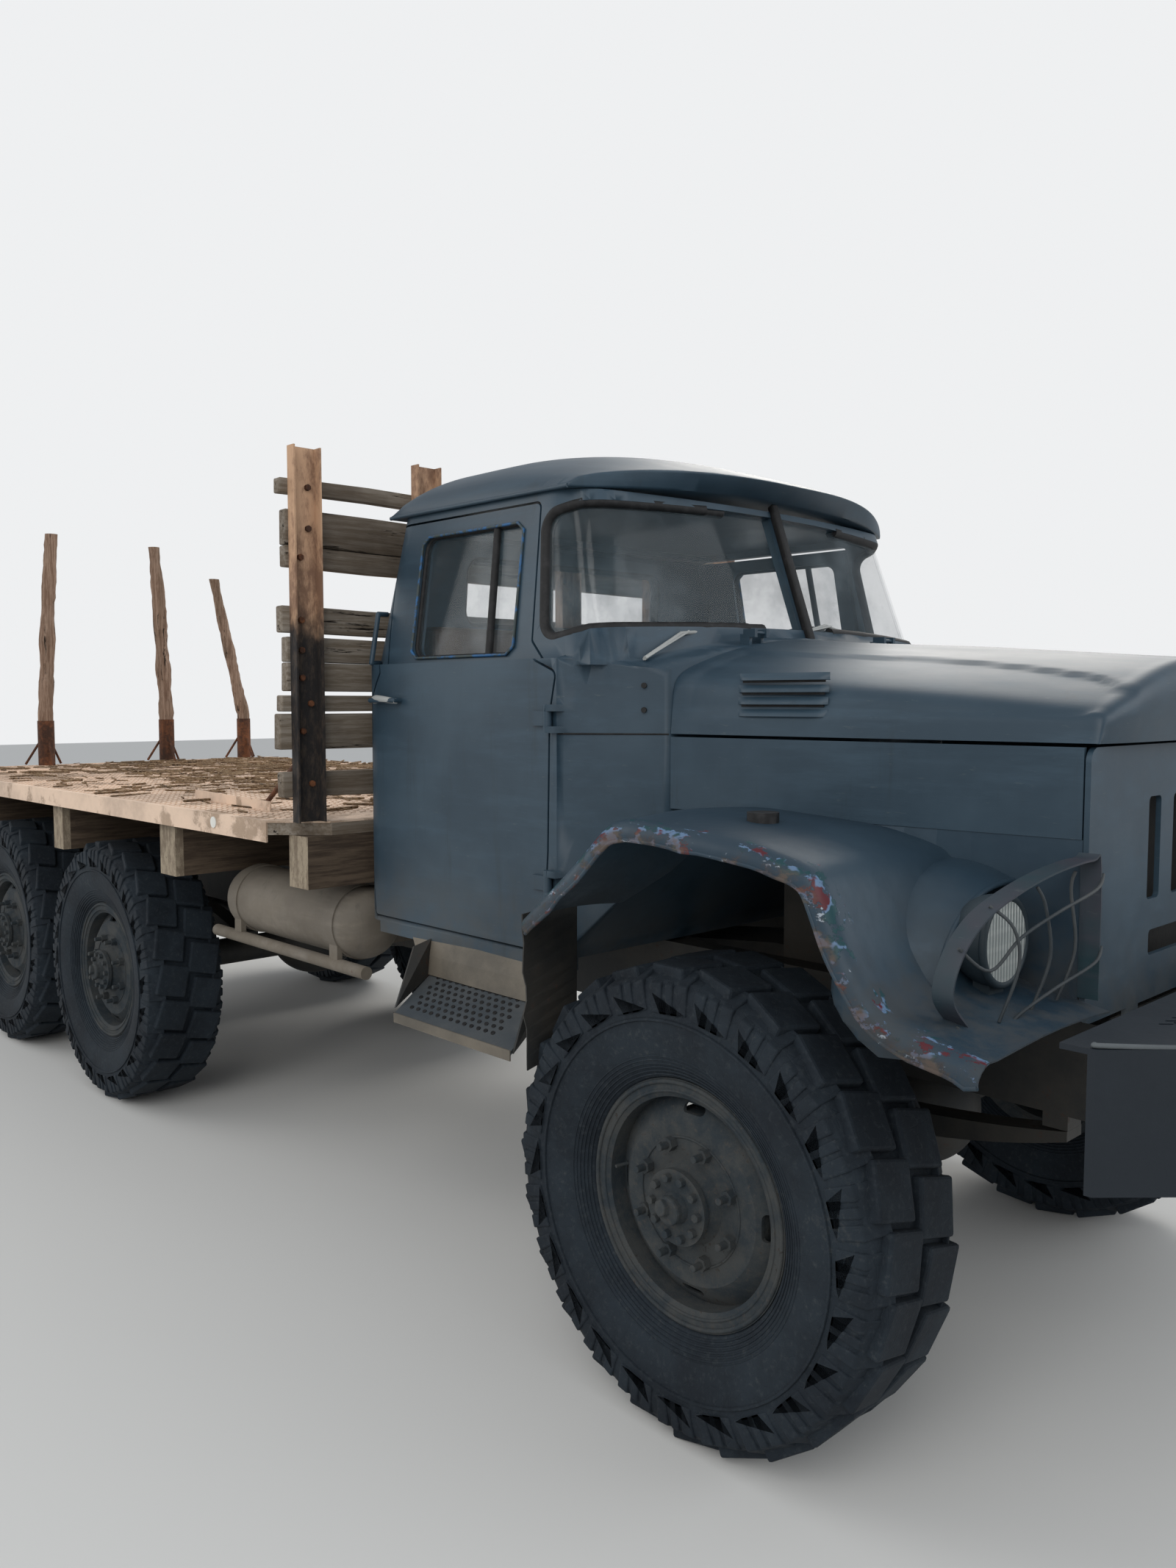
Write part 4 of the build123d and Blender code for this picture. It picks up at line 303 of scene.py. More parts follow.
def post_steel():
    """Channel posts: rusty above, darker and stained below; the split by height is painted light, sunlit
    above and painted shade below.
    """
    f = Finish("post_steel")
    fine = f.noise(46.0, 6.0, 0.72, (1, 1, 0.4), 9.0)
    cloud = f.noise(5.0, 6.0, 0.68, (1, 1, 0.5), 4.0)
    # Painted light: the rust colours are lit as in sun, the darker colours below are painted shade with
    # stains in them
    rust = f.mix((cloud * 0.6 + fine * 0.4).above(0.42, 0.58), srgb(128, 100, 82), srgb(184, 150, 122))
    dark = f.mix(fine.above(0.44, 0.66), srgb(44, 42, 42), srgb(68, 60, 54))
    # Lit above about z = 1.97, painted shade below
    sun_and_shade_split = (f.axis("Z") + (cloud - 0.5) * 0.3).above(1.92, 2.02)
    colour = f.mix(sun_and_shade_split, dark, rust)
    return f.done(colour, 0.82, 0.1, f.bump(fine + cloud * 0.6, 0.0018, 0.9), Specular_IOR_Level=0.3)


def tyre_rubber():
    """Rubber with fine specks of road dust and patches of mud."""
    f = Finish("tyre_rubber")
    cloud = f.noise(4.0, 6.0, 0.68)
    fine = f.noise(70.0, 5.0, 0.7, (1, 1, 1), 6.0)
    colour = f.mix(cloud.above(0.35, 0.68), srgb(21, 28, 35), srgb(35, 43, 50))
    colour = f.mix(fine.above(0.50, 0.74) * 0.38, colour, srgb(60, 65, 68))
    mud = (cloud * 0.55 + fine * 0.45).above(0.58, 0.66)
    colour = f.mix(mud * 0.22, colour, srgb(70, 71, 70))
    cuts = f.cells(38.0, "DISTANCE_TO_EDGE")
    rough = 0.74 + cloud * 0.16
    bump = f.bump(fine * 0.5 + cuts.above(0.0, 0.05) * 0.5, 0.0014, 0.55)
    return f.done(colour, rough, 0.0, bump, Specular_IOR_Level=0.3)


def dusty_wheel():
    """Wheel paint under rust and baked-on mud."""
    f = Finish("wheel_paint")
    cloud = f.noise(7.0, 6.0, 0.7)
    fine = f.noise(65.0, 6.0, 0.72, (1, 1, 1), 8.0)
    colour = f.mix(cloud.above(0.36, 0.62), srgb(43, 50, 55), srgb(63, 65, 65))
    colour = f.mix(fine.above(0.52, 0.72) * 0.5, colour, srgb(80, 74, 68))
    scab = (cloud * 0.4 + fine * 0.6).above(0.60, 0.64)
    colour = f.mix(scab * 0.6, colour, srgb(52, 46, 43))
    bump = f.bump(fine + scab * 0.6, 0.0018, 0.8)
    return f.done(colour, 0.86, 0.0, bump, Specular_IOR_Level=0.25)


def deck_steel():
    """Walked-on plate: brown rust, pale dust and soil in drifts."""
    f = Finish("deck_steel")
    cloud = f.noise(1.9, 7.0, 0.68)
    fine = f.noise(48.0, 6.0, 0.7, (1, 1, 1), 3.0)
    colour = f.mix(cloud.above(0.38, 0.62), srgb(218, 192, 170), srgb(186, 164, 146))
    colour = f.mix(fine.above(0.45, 0.70) * 0.5, colour, srgb(212, 190, 168))
    soil = f.noise(3.1, 8.0, 0.72, (1, 1, 1), 14.0).above(0.52, 0.60)
    colour = f.mix(soil * 0.6, colour, srgb(122, 102, 82))
    bump = f.bump(fine + soil * 1.5, 0.002, 0.8)
    return f.done(colour, 0.80, 0.0, bump, Specular_IOR_Level=0.3)


def glass_pane(name, tint, alpha):
    f = Finish(name)
    smear = f.noise(3.5, 5.0, 0.6, (1, 1, 1), 2.0)
    dust = f.noise(60.0, 3.0, 0.6, (1, 1, 1), 5.0)
    cover = smear.above(0.45, 0.75) * 0.16 + dust.above(0.55, 0.8) * 0.05 + alpha
    return f.done(tint, 0.04 + smear.above(0.4, 0.8) * 0.12, 0.0, None, Alpha=cover, Specular_IOR_Level=0.9)


def lamp_glass():
    """Clear lens with upright flutes over a pale reflector."""
    f = Finish("lamp_glass")
    flute = (f.axis("Y") * 520.0).sine()
    rows = (f.axis("Z") * 180.0).sine()
    ribs = flute.above(-1.0, 1.0) * 0.6 + rows.above(0.2, 1.0) * 0.2
    colour = f.mix(ribs, srgb(176, 184, 182), srgb(222, 226, 222))
    bump = f.bump(flute, 0.002, 0.9)
    return f.done(colour, 0.12, 0.25, bump, Specular_IOR_Level=0.8, Coat_Weight=0.6)


def black_seal(name, tone, rough):
    f = Finish(name)
    fine = f.noise(40.0, 4.0, 0.65)
    colour = f.mix(fine.above(0.42, 0.72), tone, tuple(c * 2.6 + 0.006 for c in tone[:3]) + (1,))
    return f.done(colour, rough + fine * 0.15, 0.0, f.bump(fine, 0.0008, 0.6), Specular_IOR_Level=0.4)


def worn_vinyl():
    f = Finish("seat_vinyl")
    leather = f.cells(120.0)
    cloud = f.noise(5.0, 4.0, 0.6)
    colour = f.mix(cloud.above(0.4, 0.7), srgb(58, 44, 34), srgb(84, 66, 50))
    return f.done(colour, 0.55, 0.0, f.bump(leather, 0.001, 0.6))


def pale_floor():
    f = Finish("studio_floor")
    return f.done(srgb(205, 205, 203), 0.9, 0.0, None, Specular_IOR_Level=0.1)


def blue_trace():
    """The older bright paint that shows where the top coat has gone."""
    f = Finish("blue_trace")
    fine = f.noise(30.0, 6.0, 0.7)
    colour = f.mix(fine.above(0.42, 0.52), srgb(34, 84, 128), srgb(52, 62, 62))
    return f.done(colour, 0.6, 0.0, f.bump(fine, 0.001, 0.6))


def make_finishes():
    """All materials, by the record's slot or the piece's own name."""
    return {
        "cab_paint": old_paint("cab_paint", srgb(40, 57, 69), srgb(52, 69, 81), rough=0.47),
        "fender_paint": chipped_fender(),
        "frame_paint": dark_steel("frame_paint", srgb(40, 42, 43), srgb(70, 66, 60), 0.5, 0.22),
        "bumper_paint": dark_steel("bumper_paint", srgb(26, 33, 40), srgb(40, 47, 53), 0.4, 0.15),
        "wheel_paint": dusty_wheel(),
        "tyre_rubber": tyre_rubber(),
        "engine_iron": dark_steel("engine_iron", srgb(58, 58, 56), srgb(80, 74, 66), 0.6, 0.2),
        "radiator_brass": dark_steel("radiator_brass", srgb(30, 30, 30), srgb(52, 50, 47), 0.4, 0.1),
        "lamp_body": old_paint("lamp_body", srgb(38, 48, 54), srgb(48, 58, 64), 0.8),
        "bright_metal": dark_steel("bright_metal", srgb(158, 160, 158), srgb(120, 122, 120), 0.4, 0.1),
        "white_spot": dark_steel("white_spot", srgb(214, 214, 208), srgb(190, 188, 180), 0.5, 0.0),
        "beam_timber": beam_timber(),
        "post_steel": post_steel(),
        "dry_litter": timber("dry_litter", srgb(150, 128, 102), srgb(96, 74, 54), "X"),
        "riser_dust": dark_steel("riser_dust", srgb(84, 80, 73), srgb(112, 105, 94), 0.8, 0.12),
        "tread_grey": dark_steel("tread_grey", srgb(62, 68, 73), srgb(88, 90, 90), 0.6, 0.12),
        "lip_metal": dark_steel("lip_metal", srgb(82, 87, 90), srgb(52, 56, 58), 0.6, 0.15),
        "wire_metal": dark_steel("wire_metal", srgb(46, 52, 56), srgb(84, 86, 86), 0.5, 0.08),
        "lamp_glass": lamp_glass(),
        "black_plastic": black_seal("black_plastic", srgb(26, 26, 27), 0.5),
        "rubber_seal": black_seal("rubber_seal", srgb(20, 20, 21), 0.6),
        "seat_vinyl": worn_vinyl(),
        "window_glass": glass_pane("window_glass", srgb(88, 104, 112), 0.10),
        "cylinder_paint": old_paint("cylinder_paint", srgb(102, 96, 88), srgb(122, 115, 105), 1.0, 0.04, 0.7),
        "tank_paint": old_paint("tank_paint", srgb(54, 60, 54), srgb(66, 70, 62), 0.9, 0.03),
        "deck_steel": deck_steel(),
        "old_timber": timber("old_timber", srgb(134, 126, 116), srgb(104, 94, 82)),
        "stake_timber": timber("stake_timber", srgb(148, 126, 110), srgb(108, 86, 72), "Z"),
        "rusty_steel": rusty("rusty_steel", srgb(66, 48, 40), srgb(118, 76, 52)),
        "blue_trace": blue_trace(),
        "hoop_paint": old_paint("hoop_paint", srgb(32, 58, 64), srgb(58, 56, 64), 0.6, 0.04),
        "studio_floor": pale_floor(),
    }


# Modelling helpers
def deselect():
    if bpy.context.object and bpy.context.object.mode != "OBJECT":
        bpy.ops.object.mode_set(mode="OBJECT")
    bpy.ops.object.select_all(action="DESELECT")


def take(obj):
    deselect()
    obj.select_set(True)
    bpy.context.view_layer.objects.active = obj


@contextmanager
def editing(obj):
    """Edit mode on one piece, with all of it selected."""
    take(obj)
    bpy.ops.object.mode_set(mode="EDIT")
    bpy.ops.mesh.select_all(action="SELECT")
    yield
    bpy.ops.object.mode_set(mode="OBJECT")


def face_outwards(obj):
    with editing(obj):
        bpy.ops.mesh.normals_make_consistent(inside=False)


def settle(obj, name, finish, slot=None):
    """Applies the place, names the piece and gives it its material."""
    take(obj)
    bpy.ops.object.transform_apply(location=True, rotation=True, scale=True)
    obj.name = name
    obj.data.name = name
    obj.data.materials.clear()
    obj.data.materials.append(FINISHES[finish])
    return obj


def apply_all(obj):
    take(obj)
    for modifier in list(obj.modifiers):
        bpy.ops.object.modifier_apply(modifier=modifier.name)


def bevel(obj, width, segments=2, angle=35):
    made = obj.modifiers.new("edge", "BEVEL")
    made.width = width
    made.segments = segments
    made.limit_method = "ANGLE"
    made.angle_limit = math.radians(angle)
    apply_all(obj)


def smooth(obj, angle=40):
    take(obj)
    bpy.ops.object.shade_smooth_by_angle(angle=math.radians(angle))


def block(low, high):
    """A box between two corners, as a start for a piece."""
    deselect()
    middle = [(a + b) / 2 for a, b in zip(low, high)]
    bpy.ops.mesh.primitive_cube_add(size=1, location=middle)
    obj = bpy.context.object
    obj.scale = [abs(b - a) for a, b in zip(low, high)]
    bpy.ops.object.transform_apply(location=True, rotation=True, scale=True)
    return obj


def drum(middle, axis, radius, length, sides=24):
    """A short cylinder about an axis, as a start for a piece."""
    deselect()
    turn = Vector(axis).to_track_quat("Z", "Y").to_euler()
    bpy.ops.mesh.primitive_cylinder_add(
        vertices=sides, radius=radius, depth=length, location=middle, rotation=turn
    )
    obj = bpy.context.object
    bpy.ops.object.transform_apply(location=True, rotation=True, scale=True)
    return obj


def torus(middle, turn, radius, thick, sides=(72, 6)):
    """A smooth ring, as a start for a piece."""
    deselect()
    bpy.ops.mesh.primitive_torus_add(
        major_radius=radius, minor_radius=thick, major_segments=sides[0], minor_segments=sides[1],
        rotation=turn, location=middle,
    )
    obj = bpy.context.object
    bpy.ops.object.transform_apply(location=True, rotation=True, scale=True)
    smooth(obj, 60)
    return obj


def rod(points, radius, closed=False, sides=3):
    """A round bar or bead that follows the points."""
    deselect()
    bpy.ops.curve.primitive_nurbs_path_add()
    obj = bpy.context.object
    curve = obj.data
    curve.splines.clear()
    spline = curve.splines.new("POLY")
    spline.points.add(len(points) - 1)
    for point, place in zip(spline.points, points):
        point.co = (*place, 1)
    spline.use_cyclic_u = closed
    obj.location = (0, 0, 0)
    curve.dimensions = "3D"
    curve.bevel_depth = radius
    curve.bevel_resolution = sides
    curve.use_fill_caps = True
    bpy.ops.object.convert(target="MESH")
    return bpy.context.object


def bead(points, radius, closed=False):
    """A rod with smooth shading."""
    obj = rod(points, radius, closed)
    smooth(obj, 60)
    return obj


def on_side(points, side):
    """The points, given for the left, on one side of the truck."""
    return [(x, side * y, z) for x, y, z in points]


def softened(line, times):
    """The line with its bends eased and its ends kept."""
    for i in range(times):
        line = [line[0]] + [(a + 2 * b + c) / 4 for a, b, c in zip(line, line[1:], line[2:])] + [line[-1]]
    return line


def smooth_line(points, steps=6):
    """A rounded run through the points."""
    ends = [points[0], *points, points[-1]]
    run = []
    for a, b, c, d in zip(ends, ends[1:], ends[2:], ends[3:]):
        a, b, c, d = (Vector(p) for p in (a, b, c, d))
        for i in range(steps):
            t = i / steps
            square = (2 * a - 5 * b + 4 * c - d) * t**2
            cube = (3 * b - 3 * c + d - a) * t**3
            run.append(0.5 * (2 * b + (c - a) * t + square + cube))
    run.append(Vector(points[-1]))
    return run


def skin(rows, thick=0.0):
    """A sheet whose corners are the rows of points, thickened to both sides."""
    deselect()
    bpy.ops.mesh.primitive_grid_add(x_subdivisions=len(rows[0]) - 1, y_subdivisions=len(rows) - 1, size=1)
    obj = bpy.context.object
    places = [place for row in rows for place in row]
    for vertex, place in zip(obj.data.vertices, places):
        vertex.co = place
    face_outwards(obj)
    if thick:
        made = obj.modifiers.new("thick", "SOLIDIFY")
        made.thickness = thick
        made.offset = 0
        apply_all(obj)
        face_outwards(obj)
    return obj


def ribbon(points, across, thick):
    """A flat strip along the points."""
    half = Vector(across) / 2
    return skin([[Vector(p) - half, Vector(p) + half] for p in points], thick)


def join(objects):
    deselect()
    for obj in objects:
        obj.select_set(True)
    bpy.context.view_layer.objects.active = objects[0]
    if len(objects) > 1:
        bpy.ops.object.join()
    return bpy.context.object


def copied(obj, matrix):
    """A copy with its own mesh, moved by the matrix."""
    twin = obj.copy()
    twin.data = obj.data.copy()
    twin.data.transform(matrix)
    if matrix.determinant() < 0:
        twin.data.flip_normals()
    bpy.context.collection.objects.link(twin)
    return twin


def around(obj, count, axis, middle, start=0.0):
    """The piece repeated evenly about an axis, joined into one."""
    there = Matrix.Translation(middle)
    back = Matrix.Translation(-Vector(middle))
    ring = []
    for i in range(count):
        turn = Matrix.Rotation(start + 2 * math.pi * i / count, 4, axis)
        ring.append(copied(obj, there @ turn @ back))
    bpy.data.objects.remove(obj)
    return join(ring)


def cad_copy(node):
    """An editable copy of a CAD node's mesh, merged."""
    source = frame["nodes"][node]
    twin = source.copy()
    twin.data = source.data.copy()
    bpy.context.collection.objects.link(twin)
    twin.hide_render = False
    with editing(twin):
        bpy.ops.mesh.remove_doubles(threshold=0.00002)
        bpy.ops.mesh.tris_convert_to_quads(face_threshold=math.radians(1), shape_threshold=math.radians(60))
    for key in list(twin.keys()):
        del twin[key]
    return twin


def roughen(obj, amount, scale, seed, along):
    """Moves each corner a little by a smooth fixed noise, by its own share along each axis."""
    for vertex in obj.data.vertices:
        shift = noise.noise_vector(vertex.co * scale + Vector((seed, seed * 2.3, seed * 1.7))) * amount
        vertex.co += Vector(a * b for a, b in zip(shift, along))
    obj.data.update()


def dress(node, finish):
    frame["nodes"][node].data.materials.clear()
    frame["nodes"][node].data.materials.append(FINISHES[finish])


FINISHES = {}


# Settings that a user would change
class TruckStage(bpy.types.PropertyGroup):
    lens: bpy.props.FloatProperty(name="Lens", description="Focal length in millimetres", default=27.46)
    azimuth: bpy.props.FloatProperty(
        name="Azimuth", description="Direction the camera looks", default=math.radians(46.39), subtype="ANGLE"
    )
    pitch: bpy.props.FloatProperty(
        name="Pitch", description="How far the camera looks down", default=math.radians(4.01), subtype="ANGLE"
    )
    sky: bpy.props.FloatProperty(name="Sky", description="Strength of the even light", default=0.70, min=0)


class TruckShape(bpy.types.PropertyGroup):
    lug_count: bpy.props.IntProperty(
        name="Lugs", description="Lugs on each half of a tyre", default=24, min=12
    )
    lug_slant: bpy.props.FloatProperty(
        name="Lug slant", description="Turn of a lug in the tread", default=math.radians(14), subtype="ANGLE"
    )
    plank_wear: bpy.props.FloatProperty(
        name="Plank wear", description="Unevenness of the planks", default=0.004, subtype="DISTANCE"
    )
    stake_wear: bpy.props.FloatProperty(
        name="Stake wear", description="Unevenness of the stakes", default=0.012, subtype="DISTANCE"
    )
    lozenge: bpy.props.FloatProperty(
        name="Lozenge", description="Pitch of the tread plate's pattern", default=0.042, subtype="DISTANCE"
    )


CAMERA_AT = (4.101, -3.050, 1.726)
LIGHTS = (
    # place, energy, size, colour
    ((6.0, -9.0, 7.0), 470, 7.0, (1.0, 0.98, 0.95)),
    ((-9.0, -7.0, 6.0), 320, 7.0, (1.0, 0.98, 0.95)),
    ((-3.0, 9.0, 8.0), 560, 6.0, (1.0, 0.96, 0.90)),
    ((9.0, 4.0, 5.0), 220, 6.0, (0.94, 0.97, 1.0)),
)
LIGHTS_AIM = Vector((0, 0, 1.2))
EVEN_LIGHT = (0.93, 0.96, 1.0, 1)
BACKDROP = (0.86, 0.87, 0.88, 1)


class TruckStageMake(bpy.types.Operator):
    """Floor, lights and the photograph's camera"""

    bl_idname = "truck.stage"
    bl_label = "Stage"

    def execute(self, context):
        setting = context.scene.truck_stage
        deselect()
        bpy.ops.mesh.primitive_plane_add(size=90, location=(0, 0, 0))
        floor = settle(context.object, "floor", "studio_floor")
        bpy.ops.object.camera_add(
            location=CAMERA_AT, rotation=(math.pi / 2 - setting.pitch, 0, setting.azimuth)
        )
        camera = context.object
        camera.data.sensor_width = 36
        camera.data.lens = setting.lens
        camera.data.clip_start = 0.05
        context.scene.camera = camera
        for place, energy, size, colour in LIGHTS:
            turn = (LIGHTS_AIM - Vector(place)).to_track_quat("-Z", "Y").to_euler()
            bpy.ops.object.light_add(type="AREA", location=place, rotation=turn)
            lamp = context.object.data
            lamp.energy = energy
            lamp.size = size
            lamp.color = colour
        world = bpy.data.worlds.new("studio")
        context.scene.world = world
        world.use_nodes = True
        tree = world.node_tree
        tree.nodes.clear()
        even = tree.nodes.new("ShaderNodeBackground")
        even.inputs["Color"].default_value = EVEN_LIGHT
        even.inputs["Strength"].default_value = setting.sky
        white = tree.nodes.new("ShaderNodeBackground")
        white.inputs["Color"].default_value = BACKDROP
        white.inputs["Strength"].default_value = 1.0
        path = tree.nodes.new("ShaderNodeLightPath")
        choose = tree.nodes.new("ShaderNodeMixShader")
        out = tree.nodes.new("ShaderNodeOutputWorld")
        tree.links.new(path.outputs["Is Camera Ray"], choose.inputs[0])
        tree.links.new(even.outputs[0], choose.inputs[1])
        tree.links.new(white.outputs[0], choose.inputs[2])
        tree.links.new(choose.outputs[0], out.inputs["Surface"])
        context.scene.view_settings.view_transform = "Standard"
        return {"FINISHED"}


class TruckFinishes(bpy.types.Operator):
    """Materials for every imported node"""

    bl_idname = "truck.finishes"
    bl_label = "Finishes"

    def execute(self, context):
        FINISHES.update(make_finishes())
        special = {
            "deck_beams": "beam_timber",
            "headboard_posts": "post_steel",
            "cab_steps": "tread_grey",
            "front_bumper": "bumper_paint",
            "stakes": "stake_timber",
        }
        for row in frame["record"]["subparts"]:
            dress(row["node"], special.get(row["node"], row["material_slot"]))
        return {"FINISHED"}


TYRE_PROFILE = (
    # y, radius of the carcass, from the inner bead round the tread to the outer bead
    (-0.106, 0.258), (-0.108, 0.290), (-0.122, 0.297), (-0.140, 0.335), (-0.155, 0.385), (-0.160, 0.430),
    (-0.1605, 0.475), (-0.155, 0.512), (-0.146, 0.528), (-0.118, 0.5365), (0.0, 0.538), (0.118, 0.5365),
    (0.146, 0.528), (0.155, 0.512), (0.1605, 0.475), (0.160, 0.430), (0.155, 0.385), (0.140, 0.335),
    (0.122, 0.297), (0.108, 0.290), (0.106, 0.258), (0.084, 0.258), (0.120, 0.400), (0.112, 0.495),
    (0.0, 0.500), (-0.112, 0.495), (-0.120, 0.400), (-0.084, 0.258),
)
TYRE_RINGS = (
    # radius, y, thickness of the raised rings on a sidewall
    (0.303, 0.1250, 0.0030), (0.312, 0.1295, 0.0026), (0.321, 0.1335, 0.0026),
    (0.330, 0.1372, 0.0026), (0.339, 0.1405, 0.0026), (0.348, 0.1430, 0.0026), (0.436, 0.1600, 0.0050),
)
LUG_TOP = 0.5563
WHEEL_TURN = (math.pi / 2, 0, 0)


def tyre_shape(shape):
    """A bar-tread tyre about the Y axis at the origin, outer side at +Y."""
    outline = rod([(0, y, r) for y, r in TYRE_PROFILE], 0, closed=True)
    with editing(outline):
        bpy.ops.mesh.remove_doubles(threshold=0.0001)
        bpy.ops.mesh.spin(steps=72, angle=2 * math.pi, center=(0, 0, 0), axis=(0, 1, 0))
        bpy.ops.mesh.select_all(action="SELECT")
        bpy.ops.mesh.remove_doubles(threshold=0.0001)
        bpy.ops.mesh.normals_make_consistent(inside=False)
    smooth(outline, 50)
    made = [outline]
    pitch = 2 * math.pi / shape.lug_count
    for side in (-1, 1):
        lug = block((-0.062, 0.006, 0.520), (0.062, 0.128, LUG_TOP))
        lug.data.transform(Matrix.Translation((0, -0.069, 0)))
        lug.data.transform(Matrix.Rotation(-shape.lug_slant, 4, "Z"))
        lug.data.transform(Matrix.Translation((0, 0.070, 0)))
        bevel(lug, 0.007, 2)
        # The shoulder wraps down the sidewall, with two long slots in its face
        wrap = block((-0.056, 0.100, 0.452), (0.056, 0.160, 0.550))
        for vertex in wrap.data.vertices:
            if vertex.co.y > 0.13 and vertex.co.z > 0.5:
                vertex.co.z = 0.520
                vertex.co.y = 0.1600
            elif vertex.co.y > 0.13:
                vertex.co.y = 0.1645
                vertex.co.x *= 0.94
        with editing(wrap):
            bpy.ops.mesh.bisect(plane_co=(0, 0, 0.538), plane_no=(0, 0.25, 1))
        for x in (-0.017, 0.017):
            slot = block((x - 0.0055, 0.150, 0.456), (x + 0.0055, 0.180, 0.526))
            cut = wrap.modifiers.new("slot", "BOOLEAN")
            cut.object = slot
            apply_all(wrap)
            bpy.data.objects.remove(slot)
        wrap.data.transform(Matrix.Translation((-0.020, 0, 0)))
        bevel(wrap, 0.004, 2, 50)
        bar = join([lug, wrap])
        if side < 0:
            bar.data.transform(Matrix.Rotation(math.pi, 4, "Z"))
        made.append(around(bar, shape.lug_count, "Y", (0, 0, 0), side * pitch / 4))
    for side in (-1, 1):
        for radius, y, size in TYRE_RINGS:
            made.append(torus((0, side * y, 0), WHEEL_TURN, radius, size))
    return join(made)


def at_wheels(pattern):
    """Each wheel's name with a copy of the piece in its place, outer side out."""
    for name, x, side in WHEELS:
        turn = Matrix.Rotation(0 if side > 0 else math.pi, 4, "Z")
        yield name, copied(pattern, Matrix.Translation((x, side * WHEEL_Y, WHEEL_Z)) @ turn)
    bpy.data.objects.remove(pattern)


class TruckTyres(bpy.types.Operator):
    """The six bar-tread tyres"""

    bl_idname = "truck.tyres"
    bl_label = "Tyres"

    def execute(self, context):
        for name, tyre in at_wheels(tyre_shape(context.scene.truck_shape)):
            settle(tyre, "tyre_tread_" + name, "tyre_rubber", "tyre_rubber")
            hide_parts("tyre_" + name)
            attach(tyre, "wheel_" + name)
        return {"FINISHED"}


class TruckHubs(bpy.types.Operator):
    """Flange bolts, wheel nuts' studs, lock rings and the hub ends"""

    bl_idname = "truck.hubs"
    bl_label = "Hubs"

    def execute(self, context):
        parts = []
        bolt = drum((0.070, 0.150, 0), (0, 1, 0), 0.0105, 0.022, 6)
        bevel(bolt, 0.001, 1)
        parts.append(around(bolt, 10, "Y", (0, 0.149, 0)))
        stud = drum((0.1375, 0.130, 0), (0, 1, 0), 0.0090, 0.034, 10)
        bevel(stud, 0.0015, 1)
        parts.append(around(stud, 8, "Y", (0, 0.128, 0), math.radians(22.5)))
        cap = drum((0, 0.160, 0), (0, 1, 0), 0.034, 0.034, 12)
        bevel(cap, 0.006, 2)
        parts.append(cap)
        cap = drum((0.010, 0.178, 0.006), (0.2, 1, 0.1), 0.021, 0.022, 6)
        bevel(cap, 0.003, 2)
        parts.append(cap)
        # The valve
        parts.append(rod([(0.20, 0.07, 0.03), (0.212, 0.10, 0.03), (0.215, 0.125, 0.03)], 0.004))
        for radius, y, size in ((0.284, 0.119, 0.0055), (0.262, 0.117, 0.004), (0.150, 0.0985, 0.003)):
            parts.append(torus((0, y, 0), WHEEL_TURN, radius, size, (72, 8)))
        for name, hub in at_wheels(join(parts)):
            settle(hub, "hub_fittings_" + name, "wheel_paint", "wheel_paint")
            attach(hub, "wheel_" + name)
        return {"FINISHED"}


CORNER_LOW = Vector((FRONT_X - 0.500, 0.850, 1.820))
CORNER_HIGH = Vector((FRONT_X - 0.640, 0.765, 2.315))
CORNER_R = 0.150
CORNER_TURN = math.radians(77.2)
CORNER_STRIPS = 8
CORNER_FLOOR = 1.812
CORNER_FOOT = (1.875, 1.915)


def corner_centre(z):
    """Plan place that a rounded corner of the upper cab turns about, at a height."""
    share = (z - CORNER_LOW.z) / (CORNER_HIGH.z - CORNER_LOW.z)
    corner = CORNER_LOW.lerp(CORNER_HIGH, share).xy
    front = Vector((math.sin(CORNER_TURN), math.cos(CORNER_TURN)))
    both = Vector((0, 1)) + front
    return corner, front, corner - both * (CORNER_R / (1 + front.y))


